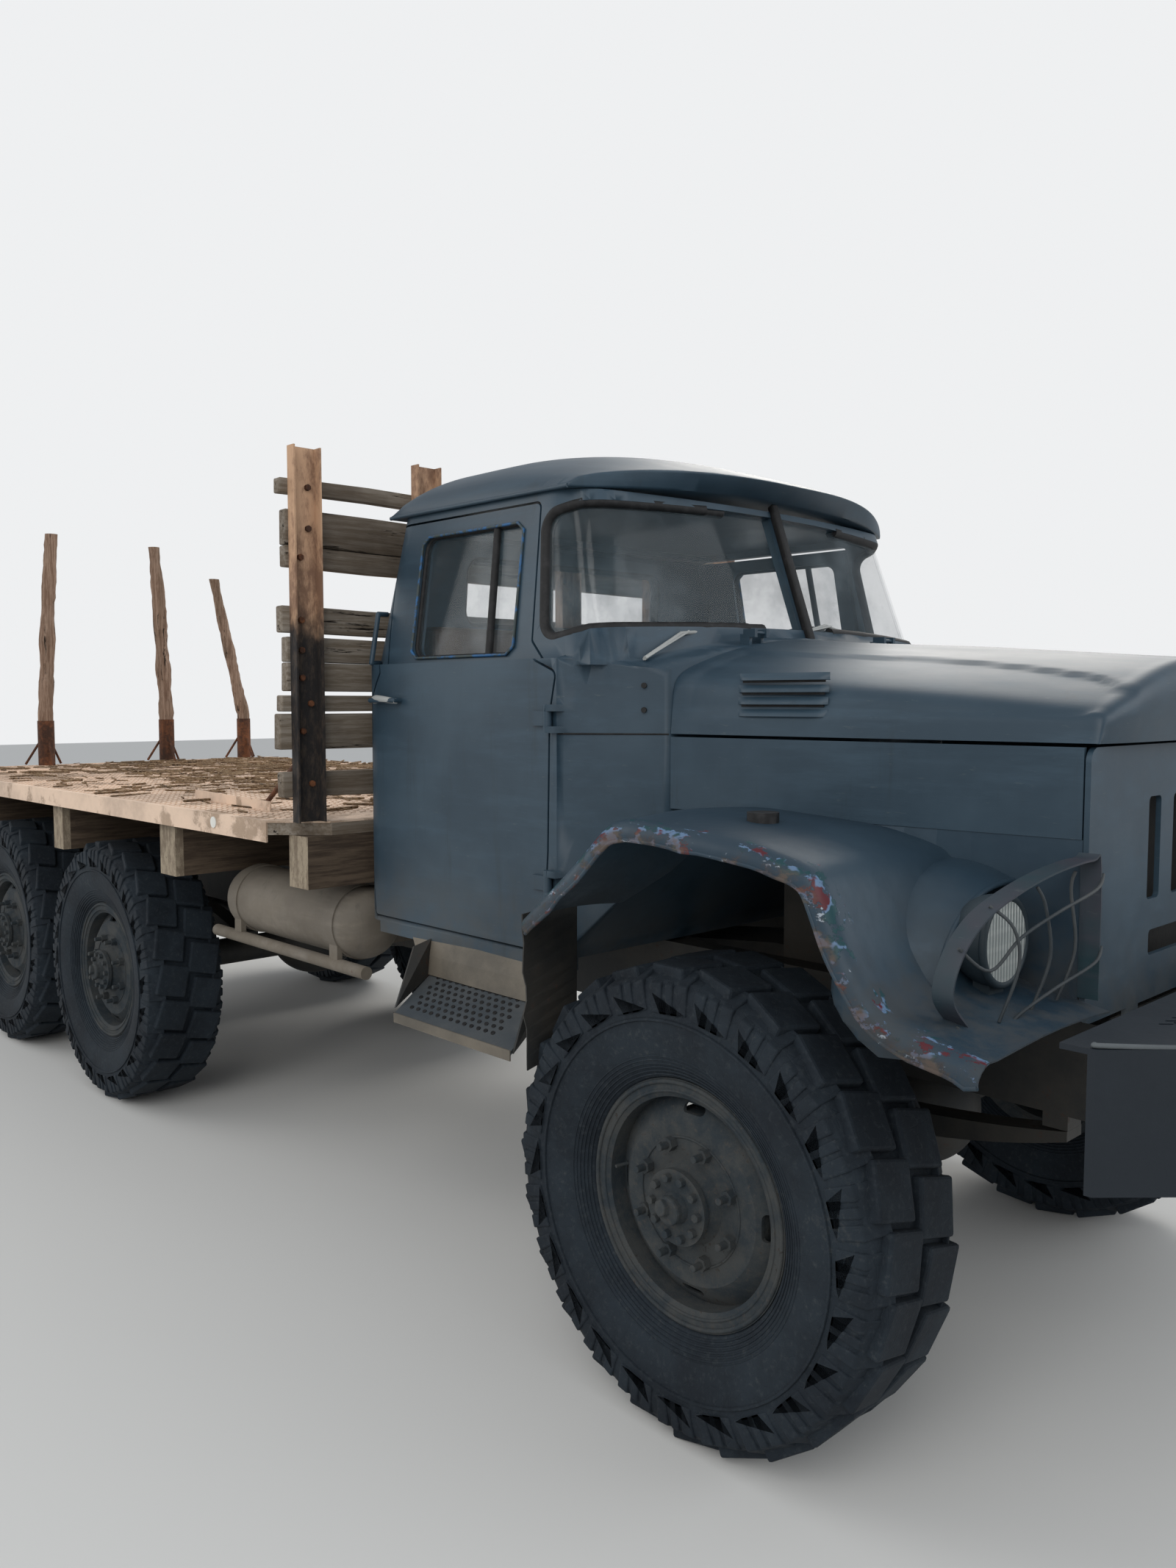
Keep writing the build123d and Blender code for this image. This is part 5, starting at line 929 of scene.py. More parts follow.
def round_corners(obj):
    """Rounds the folded front corners of the upper cab in a copy of a CAD node."""
    take(obj)
    bpy.ops.object.mode_set(mode="EDIT")
    bpy.ops.mesh.select_mode(type="FACE")
    bpy.ops.mesh.select_all(action="DESELECT")
    bpy.ops.mesh.select_interior_faces()
    bpy.ops.mesh.delete(type="FACE")
    bpy.ops.object.mode_set(mode="OBJECT")
    foot = corner_centre(CORNER_LOW.z)[2]
    head = corner_centre(CORNER_HIGH.z)[2]
    for side, tag in SIDES:
        start = Vector((foot.x, side * foot.y, CORNER_LOW.z))
        along = Vector((head.x, side * head.y, CORNER_HIGH.z)) - start
        for i in range(CORNER_STRIPS + 1):
            turn = CORNER_TURN * i / CORNER_STRIPS
            ray = Vector((math.sin(turn), side * math.cos(turn), 0))
            take(obj)
            bpy.ops.object.mode_set(mode="EDIT")
            bpy.ops.mesh.select_mode(type="FACE")
            bpy.ops.mesh.select_all(action="DESELECT")
            bpy.ops.object.mode_set(mode="OBJECT")
            near = [
                place.co.z > CORNER_FLOOR and place.co.x > 1.50 and side * place.co.y > 0.50
                for place in obj.data.vertices
            ]
            for face in obj.data.polygons:
                face.select = any(near[k] for k in face.vertices)
            bpy.ops.object.mode_set(mode="EDIT")
            bpy.ops.mesh.bisect(plane_co=start, plane_no=along.cross(ray))
            if i == CORNER_STRIPS:
                for z in CORNER_FOOT:
                    bpy.ops.mesh.bisect(plane_co=(0, 0, z), plane_no=(0, 0, 1))
            bpy.ops.object.mode_set(mode="OBJECT")
    for vertex in obj.data.vertices:
        place = vertex.co
        if place.z < CORNER_FLOOR or place.x < 1.45:
            continue
        side = 1 if place.y > 0 else -1
        corner, front, centre = corner_centre(place.z)
        flat = Vector((place.x, abs(place.y)))
        deep = min((corner - flat).y, (corner - flat).dot(front))
        out = flat - centre
        if out.x > 0 and out.dot(Vector((-front.y, front.x))) > 0 and -0.012 < deep < CORNER_R:
            share = min(1.0, max(0.0, (place.z - CORNER_FOOT[0]) / (CORNER_FOOT[1] - CORNER_FOOT[0])))
            flat = flat.lerp(centre + out.normalized() * (CORNER_R - deep), share)
            vertex.co = (flat.x, side * flat.y, place.z)
    obj.data.update()


def seal_from(twin, radius, gap=0.0):
    """A rubber bead along the sharp edges of a pane, left out within gap of the centre line."""
    take(twin)
    bpy.ops.object.mode_set(mode="EDIT")
    bpy.ops.mesh.select_mode(type="EDGE")
    bpy.ops.mesh.select_all(action="SELECT")
    bpy.ops.mesh.dissolve_limited(angle_limit=math.radians(3))
    bpy.ops.mesh.select_all(action="DESELECT")
    bpy.ops.mesh.edges_select_sharp(sharpness=math.radians(50))
    bpy.ops.mesh.select_all(action="INVERT")
    bpy.ops.mesh.delete(type="EDGE")
    bpy.ops.object.mode_set(mode="OBJECT")
    for vertex in twin.data.vertices:
        vertex.select = abs(vertex.co.y) < gap
    bpy.ops.object.mode_set(mode="EDIT")
    bpy.ops.mesh.select_mode(type="VERT")
    bpy.ops.mesh.delete(type="VERT")
    bpy.ops.mesh.select_mode(type="EDGE")
    bpy.ops.object.mode_set(mode="OBJECT")
    # Nothing runs down the bend of the screen
    for edge in twin.data.edges:
        first, second = (twin.data.vertices[k].co for k in edge.vertices)
        steep = abs(first.z - second.z) > 0.6 * (first - second).length
        edge.select = steep and min(first.x, second.x) > 1.612 and min(abs(first.y), abs(second.y)) > 0.40
    bpy.ops.object.mode_set(mode="EDIT")
    bpy.ops.mesh.delete(type="EDGE")
    bpy.ops.object.mode_set(mode="OBJECT")
    bpy.ops.object.convert(target="CURVE")
    curve = bpy.context.object
    curve.data.bevel_depth = radius
    curve.data.bevel_resolution = 3
    curve.data.use_fill_caps = True
    bpy.ops.object.convert(target="MESH")
    return bpy.context.object


class TruckCab(bpy.types.Operator):
    """The cab and its screen with rounded front corners"""

    bl_idname = "truck.cab"
    bl_label = "Cab"

    def execute(self, context):
        for node, name, finish in (
            ("cab_shell", "cab_body", "cab_paint"), ("cab_glass", "screen_glass", "window_glass"),
        ):
            made = cad_copy(node)
            round_corners(made)
            smooth(made, 32)
            settle(made, name, finish, finish)
            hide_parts(node)
            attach(made, "chassis")
        return {"FINISHED"}


DOOR_HALF = 0.850
DOOR_LEAN = 0.179
DOOR_WAIST = 1.840


def door_y(z, proud):
    """Half width at the leaning upper part of a door."""
    return DOOR_HALF - DOOR_LEAN * (z - DOOR_WAIST) + proud


class TruckWindows(bpy.types.Operator):
    """Rubber seals, the screen post and quarter light bars"""

    bl_idname = "truck.windows"
    bl_label = "Windows"

    def execute(self, context):
        pane = cad_copy("cab_glass")
        round_corners(pane)
        seal = seal_from(pane, 0.0175, 0.03)
        post = ribbon([(1.8985, 0, 1.890), (1.740, 0, 2.335)], (0, 0.030, 0), 0.024)
        bevel(post, 0.006, 2)
        seals = join([seal, post])
        smooth(seals, 60)
        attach(settle(seals, "screen_seals", "rubber_seal", "black_plastic"), "chassis")
        for side, tag in SIDES:
            seal = seal_from(cad_copy("door_glass_" + tag), 0.0085)
            smooth(seal, 60)
            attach(settle(seal, "door_seal_" + tag, "rubber_seal", "black_plastic"), "door_" + tag)
            # Quarter light bar, leaning with the door
            low = (FRONT_X - 0.945, side * door_y(1.856, -0.012), 1.852)
            high = (FRONT_X - 0.981, side * door_y(2.236, -0.012), 2.242)
            bar = bead([low, high], 0.0115)
            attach(settle(bar, "quarter_bar_" + tag, "rubber_seal", "black_plastic"), "door_" + tag)
        return {"FINISHED"}


HOOD_REAR = 1.954
HOOD_NOSE = 3.030
HOOD_SEAM = 1.637
HOOD_LENGTH = 1.136
HOOD_PRESSED = 0.0065
HOOD_LEAN = 0.014
HOOD_ROWS = 83
NOSE_ROWS = 14


def hood_half(x):
    return 0.700 - 0.086 * (x - HOOD_REAR) / HOOD_LENGTH


def hood_line(x):
    """Half of the hood's cross section at x, from the seam up the side and over to the centre line."""
    share = (x - HOOD_REAR) / HOOD_LENGTH
    half = hood_half(x)
    side_z = 1.806 - 0.091 * share
    top = 1.905 - 0.083 * share
    rise = side_z - 0.020 - HOOD_SEAM
    run = [Vector((half - HOOD_LEAN * i / 10, HOOD_SEAM + rise * i / 10)) for i in range(10)]
    for i in range(41):
        y = (half - HOOD_LEAN) * (1 - i / 40)
        run.append(Vector((y, top - (top - side_z + 0.020) * (y / half) ** 2.3)))
    return softened(run, 7)


def pressed(x, girth):
    """Height of the hood's pressed side panel, 0 to 1, at x and a distance up from the seam."""
    upper = 0.385 - 0.150 * max(0.0, (x - 2.45) / 0.60) ** 1.5
    gaps = (girth - 0.050, upper - girth, 3.052 - x, (x - 1.99) * 0.5)
    near = min(gaps)
    corner = math.hypot(max(0.0, 0.06 - gaps[0]), max(0.0, 0.06 - gaps[2]))
    if gaps[0] < 0.06 and gaps[2] < 0.06:
        near = 0.06 - corner
    corner = math.hypot(max(0.0, 0.10 - gaps[1]), max(0.0, 0.10 - gaps[2]))
    if gaps[1] < 0.10 and gaps[2] < 0.10:
        near = min(near, 0.10 - corner)
    share = min(1.0, max(0.0, near / 0.013))
    return share * share * (3 - 2 * share)


class TruckHood(bpy.types.Operator):
    """The hood's pressed skin with its rounded nose and louvres"""

    bl_idname = "truck.hood_skin"
    bl_label = "Hood"

    def execute(self, context):
        rows = []
        for i in range(HOOD_ROWS + 1):
            x = HOOD_REAR + (HOOD_NOSE - HOOD_REAR) * i / HOOD_ROWS
            half = hood_line(x)
            row = []
            girth = 0.0
            for k, place in enumerate(half):
                if k:
                    girth += (place - half[k - 1]).length
                ahead = half[min(k + 1, len(half) - 1)] - half[max(k - 1, 0)]
                out = Vector((ahead.y, -ahead.x)).normalized()
                wave = noise.noise(Vector((x * 2.6, place.x * 3, place.y * 3))) * 0.0035
                lift = wave - HOOD_PRESSED * pressed(x, girth)
                row.append(Vector((x, place.x + out.x * lift, place.y + out.y * lift)))
            rows.append([Vector((p.x, -p.y, p.z)) for p in row] + [p.copy() for p in reversed(row[:-1])])
        last = rows[-1]
        for i in range(1, NOSE_ROWS + 1):
            s = i / NOSE_ROWS
            row = []
            for place in last:
                edge = abs(place.y) / 0.62
                reach = 0.060 * math.sin(math.pi * s * 0.78) * (1 - 0.6 * min(1.0, edge) ** 6)
                row.append(
                    Vector((
                        place.x + reach, place.y * (1 - 0.020 * s * s),
                        HOOD_SEAM + (place.z - HOOD_SEAM) * (1 - s**2.6),
                    ))
                )
            rows.append(row)
        hood = skin(rows, 0.004)
        smooth(hood, 50)
        pieces = [hood]
        slits = []
        for side, tag in SIDES:
            for k in range(4):
                z = 1.785 - 0.030 * k
                rows = []
                slit = []
                for i in range(25):
                    t = i / 24
                    x = 2.158 + 0.260 * t
                    swell = 0.0150 * max(0.0, 1 - abs(2 * t - 1) ** 6) ** 0.5
                    face = hood_half(x) - HOOD_LEAN * (z - HOOD_SEAM) / 0.16 - HOOD_PRESSED
                    row = []
                    for j in range(5):
                        out = face + swell * math.sin(math.pi / 2 * j / 4)
                        row.append(Vector((x, side * out, z + 0.008 - 0.017 * j / 4)))
                    rows.append(row + [Vector((x, side * (face - 0.003), z - 0.0095))])
                    slit.append(Vector((x, side * (face + 0.0015), z - 0.0125)))
                pieces.append(skin(rows, 0.0015))
                smooth(pieces[-1], 50)
                slits.append(ribbon(slit[1:-1], (0, 0, 0.0065), 0.003))
        made = join(pieces)
        settle(made, "hood_skin", "cab_paint", "cab_paint")
        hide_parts("hood")
        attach(made, "hood")
        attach(settle(join(slits), "louvre_slits", "rubber_seal", "black_plastic"), "hood")
        return {"FINISHED"}


def on_cowl(x, y, proud):
    """A place over the cowl below the screen."""
    share = (x - FRONT_X + 0.600) / 0.251
    top = 1.950 - 0.045 * share
    side_z = 1.840 - 0.034 * share
    return Vector((x, y, top - (top - side_z) * (y / (0.880 - 0.180 * share)) ** 2 + proud))


class TruckWipers(bpy.types.Operator):
    """Two wipers lying on the cowl"""

    bl_idname = "truck.wipers"
    bl_label = "Wipers"

    def execute(self, context):
        parts = []
        for y_pivot, y_tip in ((-0.380, -0.716), (0.300, -0.030)):
            pivot = on_cowl(FRONT_X - 0.469, y_pivot, 0.012)
            tip = on_cowl(FRONT_X - 0.429, y_tip, 0.010)
            bend = pivot.lerp(tip, 0.5) + Vector((0, 0, 0.036))
            parts.append(drum(pivot, (0.5, 0, 0.9), 0.014, 0.040, 16))
            parts.append(rod([pivot + Vector((0, 0, 0.012)), bend, tip], 0.0055))
            blade = [pivot.lerp(tip, 0.40) + Vector((0, 0, 0.034)), tip]
            parts.append(ribbon(blade, (0.012, 0, 0.006), 0.006))
        parts.append(drum(on_cowl(FRONT_X - 0.485, -0.260, 0.0), (0.1, 0, 1), 0.012, 0.030, 12))
        wipers = join(parts)
        smooth(wipers, 45)
        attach(settle(wipers, "wipers", "bright_metal", "black_plastic"), "chassis")
        return {"FINISHED"}


BOWL_SECTIONS = (
    # x and share of the full width, from the mouth back into the fender
    (2.887, 0.880), (2.865, 0.915), (2.830, 0.962), (2.785, 0.995), (2.740, 1.0), (2.700, 0.975),
    (2.665, 0.920), (2.635, 0.830), (2.612, 0.700), (2.598, 0.520), (2.592, 0.300),
)
BOWL_REAR = 2.592
BOWL_MIDDLE = (0.655, 1.080)
BOWL_SIZE = (0.335, 0.295)
LAMP_TURN = (0, math.pi / 2, 0)
HOOP = (
    (2.975, 1.010, 1.112), (2.965, 1.052, 1.170), (2.972, 1.035, 1.245),
    (2.985, 0.975, 1.310), (3.000, 0.880, 1.352), (3.020, 0.760, 1.385),
    (3.045, 0.650, 1.402), (3.050, 0.624, 1.385), (3.050, 0.622, 1.110),
)
WIRE_R = 0.0034


class TruckLamps(bpy.types.Operator):
    """Bowls round the headlamps, rims, flat hoops and bent wires"""

    bl_idname = "truck.lamps"
    bl_label = "Lamps"

    def execute(self, context):
        bowls = []
        rims = []
        hoops = []
        wires = []
        for side, tag in SIDES:
            rows = []
            for x, size in BOWL_SECTIONS:
                row = []
                for i in range(41):
                    turn = math.radians(96 - 108 * i / 40)
                    wide = math.copysign(abs(math.cos(turn)) ** 0.87, math.cos(turn))
                    tall = math.copysign(abs(math.sin(turn)) ** 0.87, math.sin(turn))
                    y = BOWL_MIDDLE[0] + BOWL_SIZE[0] * size * wide
                    # The bottom rises to the rear, clear of the tyre at full lock
                    z = max(BOWL_MIDDLE[1] + BOWL_SIZE[1] * size * tall, 1.140 - 0.73 * (x - BOWL_REAR))
                    row.append(Vector((x, side * y, z)))
                rows.append(row)
            bowl = skin(rows, 0.005)
            smooth(bowl, 50)
            bowls.append(bowl)
            # A rolled edge round the bowl's mouth
            bowls.append(bead(rows[0], 0.006))
            middle = (LAMP.x + 0.002, side * LAMP.y, LAMP.z)
            rims.append(torus(middle, LAMP_TURN, LAMP_R - 0.006, 0.0085, (64, 12)))
            hoops.append(ribbon(smooth_line(on_side(HOOP, side)), (0.044, 0, 0), 0.004))
            for z, sag in ((1.330, 0.030), (1.180, 0.020)):
                wire = (
                    (2.985, 1.035, z - 0.065), (3.010, 0.960, z - 0.085 - sag), (3.030, 0.880, z - 0.060),
                    (3.055, 0.780, z - 0.020), (3.078, 0.660, z + 0.015), (3.070, 0.610, z + 0.040),
                )
                wires.append(rod(smooth_line(on_side(wire, side)), WIRE_R))
            for y, lean in ((0.920, 0.02), (0.790, 0.01), (0.680, 0.0)):
                top = 1.335 + 0.19 * (0.920 - y)
                wire = (
                    (2.995 + 0.2 * (0.92 - y), y + lean, top), (3.035, y, top - 0.04),
                    (3.042, y - 0.01, 1.22), (3.020, y + 0.02, 1.115),
                )
                wires.append(rod(smooth_line(on_side(wire, side)), WIRE_R))
        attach(settle(join(bowls), "lamp_bowls", "fender_paint", "cab_paint"), "chassis")
        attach(settle(join(rims), "lamp_rims", "lamp_body", "lamp_body"), "chassis")
        hoop = join(hoops)
        smooth(hoop, 40)
        settle(hoop, "guard_hoops", "hoop_paint", "frame_paint")
        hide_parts("lamp_guards")
        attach(hoop, "chassis")
        cage = join(wires)
        smooth(cage, 60)
        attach(settle(cage, "guard_wires", "wire_metal", "frame_paint"), "chassis")
        return {"FINISHED"}


FENDER_LINE = (
    # x and z of the fender's top skin, front to back
    (3.095, 1.094), (2.892, 1.131), (2.805, 1.252), (2.742, 1.397),
    (2.574, 1.440), (2.168, 1.467), (2.038, 1.345), (1.845, 1.185),
)
FENDER_OUT = 1.1455
FENDER_LIP = 0.040


def hood_side(x):
    """Half width of the hood's sides, cowl and cab at x."""
    line = ((3.030, 0.618), (1.951, 0.700), (1.700, 0.880), (0.700, 0.880))
    if x > line[0][0]:
        return line[0][1]
    for (x0, y0), (x1, y1) in zip(line, line[1:]):
        if x >= x1:
            return y0 + (y1 - y0) * (x - x0) / (x1 - x0)
    return line[-1][1]


class TruckFenders(bpy.types.Operator):
    """Fender skins with rolled edges, dents and torn ends, and the aprons inside them"""

    bl_idname = "truck.fenders"
    bl_label = "Fenders"

    def execute(self, context):
        line = []
        for (x0, z0), (x1, z1) in zip(FENDER_LINE, FENDER_LINE[1:]):
            for i in range(9):
                line.append(Vector((x0 + (x1 - x0) * i / 9, 0, z0 + (z1 - z0) * i / 9)))
        line.append(Vector((FENDER_LINE[-1][0], 0, FENDER_LINE[-1][1])))
        line = softened(line, 5)
        pieces = []
        for side, tag in SIDES:
            rows = []
            for i, place in enumerate(line):
                ahead = (line[min(i + 1, len(line) - 1)] - line[max(i - 1, 0)]).normalized()
                down = Vector((-ahead.z, 0, ahead.x)) if ahead.x > 0 else Vector((ahead.z, 0, -ahead.x))
                if down.z > 0:
                    down = -down
                inner = hood_side(place.x) + 0.001
                torn = noise.noise(Vector((place.x * 14, side * 3.0, 1.0))) * 0.006
                if i > len(line) - 7:
                    torn += noise.noise(Vector((i * 1.7, side * 5.0, 4.0))) * 0.022
                if i < 5:
                    torn += abs(noise.noise(Vector((i * 1.3, side * 2.0, 8.0)))) * 0.020
                row = []
                for share in (0, 0.15, 0.3, 0.45, 0.6, 0.72, 0.82, 0.9, 0.96):
                    y = inner + (FENDER_OUT - FENDER_LIP - inner) * share
                    dent = noise.noise(Vector((place.x * 3.1, y * 4.0 + side, 7.0))) * 0.007 * share
                    crown = 0.010 * math.sin(math.pi * share)
                    row.append(place - down * (crown + dent - 0.004) + Vector((0, side * y, 0)))
                for degrees in (15, 35, 55, 75, 90):
                    a = math.radians(degrees)
                    y = FENDER_OUT - FENDER_LIP + 0.037 * math.sin(a) + 0.002
                    row.append(place + down * (0.004 + 0.034 * (1 - math.cos(a))) + Vector((0, side * y, 0)))
                row.append(place + down * (0.048 + torn) + Vector((0, side * (FENDER_OUT - 0.002), 0)))
                rows.append(row)
            sheet = skin(rows, 0.004)
            smooth(sheet, 50)
            pieces.append(sheet)
            pieces.append(bead([row[-1] for row in rows], 0.0052))
            # Apron between the fender and the hood's side panel
            wall = []
            for i in range(13):
                x = 3.028 - 0.080 * i
                y = side * (hood_side(x) - 0.004)
                z = 1.470
                for (x1, z1), (x0, z0) in zip(FENDER_LINE, FENDER_LINE[1:]):
                    if x0 <= x <= x1:
                        z = z0 + (z1 - z0) * (x - x0) / (x1 - x0) - 0.012
                low = Vector((x, y + side * 0.006, min(z, 1.436)))
                wall.append([low, low.lerp(Vector((x, y, 1.4375)), 0.5), Vector((x, y, 1.4375))])
            pieces.append(skin(wall, 0.004))
        fenders = join(pieces)
        settle(fenders, "fender_skins", "fender_paint", "cab_paint")
        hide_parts("fenders")
        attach(fenders, "chassis")
        return {"FINISHED"}


RISER = (
    # The leaning plate between the sill and the step, from the top down
    ((1.010, 0.874, 0.995), (1.350, 0.876, 0.998), (1.690, 0.874, 1.000)),
    ((1.060, 0.890, 0.940), (1.360, 0.892, 0.940), (1.660, 0.890, 0.940)),
    ((1.116, 0.900, 0.884), (1.370, 0.902, 0.884), (1.640, 0.900, 0.884)),
)
STEP_ENDS = (
    # Corners of the plates that close a step at its rear and front
    ((1.118, 0.880, 0.990), (1.118, 0.945, 0.975), (1.120, 0.880, 0.885), (1.225, 1.088, 0.830)),
    ((1.690, 0.880, 0.995), (1.700, 0.965, 0.985), (1.660, 0.885, 0.870), (1.772, 1.100, 0.815)),
)
STEP_FOLD = ((1.252, 1.110, 0.812), (1.500, 1.111, 0.812), (1.774, 1.110, 0.812))


class TruckSteps(bpy.types.Operator):
    """Risers and end plates of the cab steps, and the torn flaps ahead of them"""

    bl_idname = "truck.steps"
    bl_label = "Step plates"

    def execute(self, context):
        plates = []
        flaps = []
        for side, tag in SIDES:
            plates.append(skin([on_side(row, side) for row in RISER], 0.004))
            for corners in STEP_ENDS:
                a, b, c, d = (Vector(corner) for corner in on_side(corners, side))
                flaps.append(skin([[a, b], [c, d]], 0.005))
            flap = []
            for i in range(12):
                t = i / 11
                ragged = noise.noise(Vector((i * 0.9, side, 3.0))) * 0.020
                flap.append(
                    [
                        Vector((1.800 + 0.02 * t, side * (0.900 + 0.02 * t), 1.200 - 0.38 * t)),
                        Vector((1.835 - 0.04 * t, side * (1.120 - 0.05 * t + ragged), 1.190 - 0.42 * t)),
                    ]
                )
            flaps.append(skin(flap, 0.004))
            # Folded edge of the step
            plates.append(ribbon(on_side(STEP_FOLD, side), (0, 0, 0.028), 0.004))
        made = join(plates)
        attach(settle(made, "step_plates", "riser_dust", "cab_paint"), "chassis")
        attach(settle(join(flaps), "step_ends", "frame_paint", "cab_paint"), "chassis")
        return {"FINISHED"}


class TruckRoof(bpy.types.Operator):
    """The pressed roof with its peak over the screen, and the gutters"""

    bl_idname = "truck.roof"
    bl_label = "Roof"

    def execute(self, context):
        rear, base, rise, half = 0.768, 2.3155, 0.1895, 0.776
        rows = []
        for i in range(49):
            u = i / 48
            row = []
            for j in range(57):
                v = -1 + 2 * j / 56
                front = 1.820 - 0.185 * abs(v) ** 2.4
                x = rear + (front - rear) * u
                back = math.sqrt(max(0.0, 1 - max(0.0, 1 - u / 0.22) ** 2.4))
                fall = 1 - 0.66 * max(0.0, (u - 0.50) / 0.50) ** 1.7
                across = max(0.0, 1 - abs(v) ** 3.0) ** 0.55
                lift = 0.012 + (rise - 0.012) * back * fall * across
                row.append(Vector((x, v * half, base + lift)))
            rows.append(row)
        roof = skin(rows)
        with editing(roof):
            bpy.ops.mesh.extrude_region_move(TRANSFORM_OT_translate={"value": (0, 0, -0.5)})
        for vertex in roof.data.vertices:
            if vertex.co.z < base - 0.1:
                peak = max(0.0, (vertex.co.x - 1.56) / 0.26)
                arch = max(0.0, 1 - abs(vertex.co.y / half) ** 2)
                vertex.co.z = base + 0.030 * min(1, peak) * arch
                vertex.co.x -= 0.060 * min(1, peak) ** 3
        face_outwards(roof)
        bevel(roof, 0.009, 3, 50)
        for vertex in roof.data.vertices:
            vertex.co.z += noise.noise(vertex.co * 3.0) * 0.003
        smooth(roof, 40)
        gutters = [roof]
        for side, tag in SIDES:
            run = [Vector((x, side * (half - 0.001), base + 0.004)) for x in (0.775, 1.0, 1.3, 1.55, 1.63)]
            gutters.append(bead(run, 0.006))
        made = join(gutters)
        settle(made, "roof_skin", "cab_paint", "cab_paint")
        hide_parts("cab_roof")
        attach(made, "chassis")
        return {"FINISHED"}


SEAT_CROWN = 0.012


class TruckSeats(bpy.types.Operator):
    """Worn seat cushions and backs with crowned pads"""

    bl_idname = "truck.seats"
    bl_label = "Seats"

    def execute(self, context):
        for y, width, tag in ((0.400, 0.480, "driver"), (-0.300, 0.800, "passenger")):
            for kind, low, high in (
                ("cushion", (0.866, y - width / 2, 1.0525), (1.342, y + width / 2, 1.440)),
                ("back", (0.801, y - width / 2, 1.453), (0.907, y + width / 2, 1.968)),
            ):
                pad = block(low, high)
                bevel(pad, 0.030, 4)
                with editing(pad):
                    bpy.ops.mesh.subdivide(number_cuts=9)
                middle = (Vector(low) + Vector(high)) / 2
                reach = (Vector(high) - Vector(low)) / 2
                for vertex in pad.data.vertices:
                    share = Vector((c - m) / r for c, m, r in zip(vertex.co, middle, reach))
                    wrinkle = noise.noise(vertex.co * 14) * 0.003
                    if kind == "cushion" and share.z > 0:
                        vertex.co.z += (1 - share.x**2) * (1 - share.y**2) * SEAT_CROWN * share.z + wrinkle
                    elif kind == "back" and share.x > 0:
                        vertex.co.x += (1 - share.z**2) * (1 - share.y**2) * SEAT_CROWN * share.x + wrinkle
                smooth(pad, 50)
                settle(pad, "seat_" + kind + "_" + tag, "seat_vinyl", "seat_vinyl")
                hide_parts("seats")
                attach(pad, "chassis")
        return {"FINISHED"}


LEVER = ((0.850, 0.898, 1.727), (0.880, 0.904, 1.729), (0.930, 0.905, 1.727), (0.975, 0.901, 1.722))
LEVER_Z = 1.726
COWL_SEAM = ((0.596, 0.8795), (0.478, 0.793), (0.352, 0.7015))
WINDOW_CORNERS = ((-1.318, 1.856), (-0.822, 1.856), (-0.846, 2.238), (-1.335, 2.238))
STRAWS = 1500


class TruckTrim(bpy.types.Operator):
    """Door handles, blue traces, panel seams, reflector and the litter on the deck"""

    bl_idname = "truck.trim"
    bl_label = "Trim and litter"

    def execute(self, context):
        for side, tag in SIDES:
            lever = rod(smooth_line(on_side(LEVER, side)), 0.0105)
            for vertex in lever.data.vertices:
                taper = 1.25 - 4.5 * max(0.0, vertex.co.x - 0.87)
                vertex.co.z = LEVER_Z + (vertex.co.z - LEVER_Z) * taper
            smooth(lever, 60)
            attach(settle(lever, "door_lever_" + tag, "bright_metal", "cab_paint"), "door_" + tag)
            seam = rod([(FRONT_X - back, side * y, HOOD_SEAM - 0.0015) for back, y in COWL_SEAM], 0.0025)
            studs = [
                drum((FRONT_X - 0.405, side * 0.742, z), (0.58, side, 0), 0.0075, 0.012, 10)
                for z in (1.700, 1.765)
            ]
            seams = join([seam, *studs])
            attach(settle(seams, "cowl_seam_" + tag, "rubber_seal", "cab_paint"), "chassis")
            frame_run = []
            for (x0, z0), (x1, z1) in zip(WINDOW_CORNERS, WINDOW_CORNERS[1:] + WINDOW_CORNERS[:1]):
                for t in (0.06, 0.5, 0.94):
                    x, z = x0 + (x1 - x0) * t, z0 + (z1 - z0) * t
                    frame_run.append((FRONT_X + x, side * door_y(z, 0.0015), z))
            trace = bead(frame_run, 0.0045, closed=True)
            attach(settle(trace, "window_trace_" + tag, "blue_trace", "cab_paint"), "door_" + tag)
        spots = [drum((0.18, side * 1.1262, 1.300), (0, 1, 0), 0.020, 0.003) for side, tag in SIDES]
        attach(settle(join(spots), "deck_reflectors", "white_spot", "deck_steel"), "chassis")
        chance = random.Random(SEED)
        straws = []
        pattern = rod([(-0.5, 0, 0), (-0.1, 0.04, 0), (0.5, 0, 0)], 0.5, sides=0)
        for i in range(STRAWS):
            x = DECK_REAR + 0.10 + (DECK_FRONT - DECK_REAR - 0.35) * chance.random()
            y = -0.55 + 1.60 * chance.random() ** 0.8
            if chance.random() < 0.25:
                y = -1.05 + 2.1 * chance.random()
            length = 0.05 + 0.20 * chance.random() ** 2
            thin = 0.0016 + 0.0035 * chance.random()
            place = Matrix.Translation((x, y, DECK_TOP + thin + 0.010 * chance.random() ** 3))
            turn = Matrix.Rotation(chance.uniform(0, math.pi), 4, "Z")
            tilt = Matrix.Rotation(chance.uniform(-0.03, 0.03), 4, "Y")
            size = Matrix.Diagonal((length, thin * 2, thin * 2, 1))
            straws.append(copied(pattern, place @ turn @ tilt @ size))
        bpy.data.objects.remove(pattern)
        litter = join(straws)
        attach(settle(litter, "deck_litter", "dry_litter", "old_timber"), "chassis")
        return {"FINISHED"}


STAKE_RINGS = 44


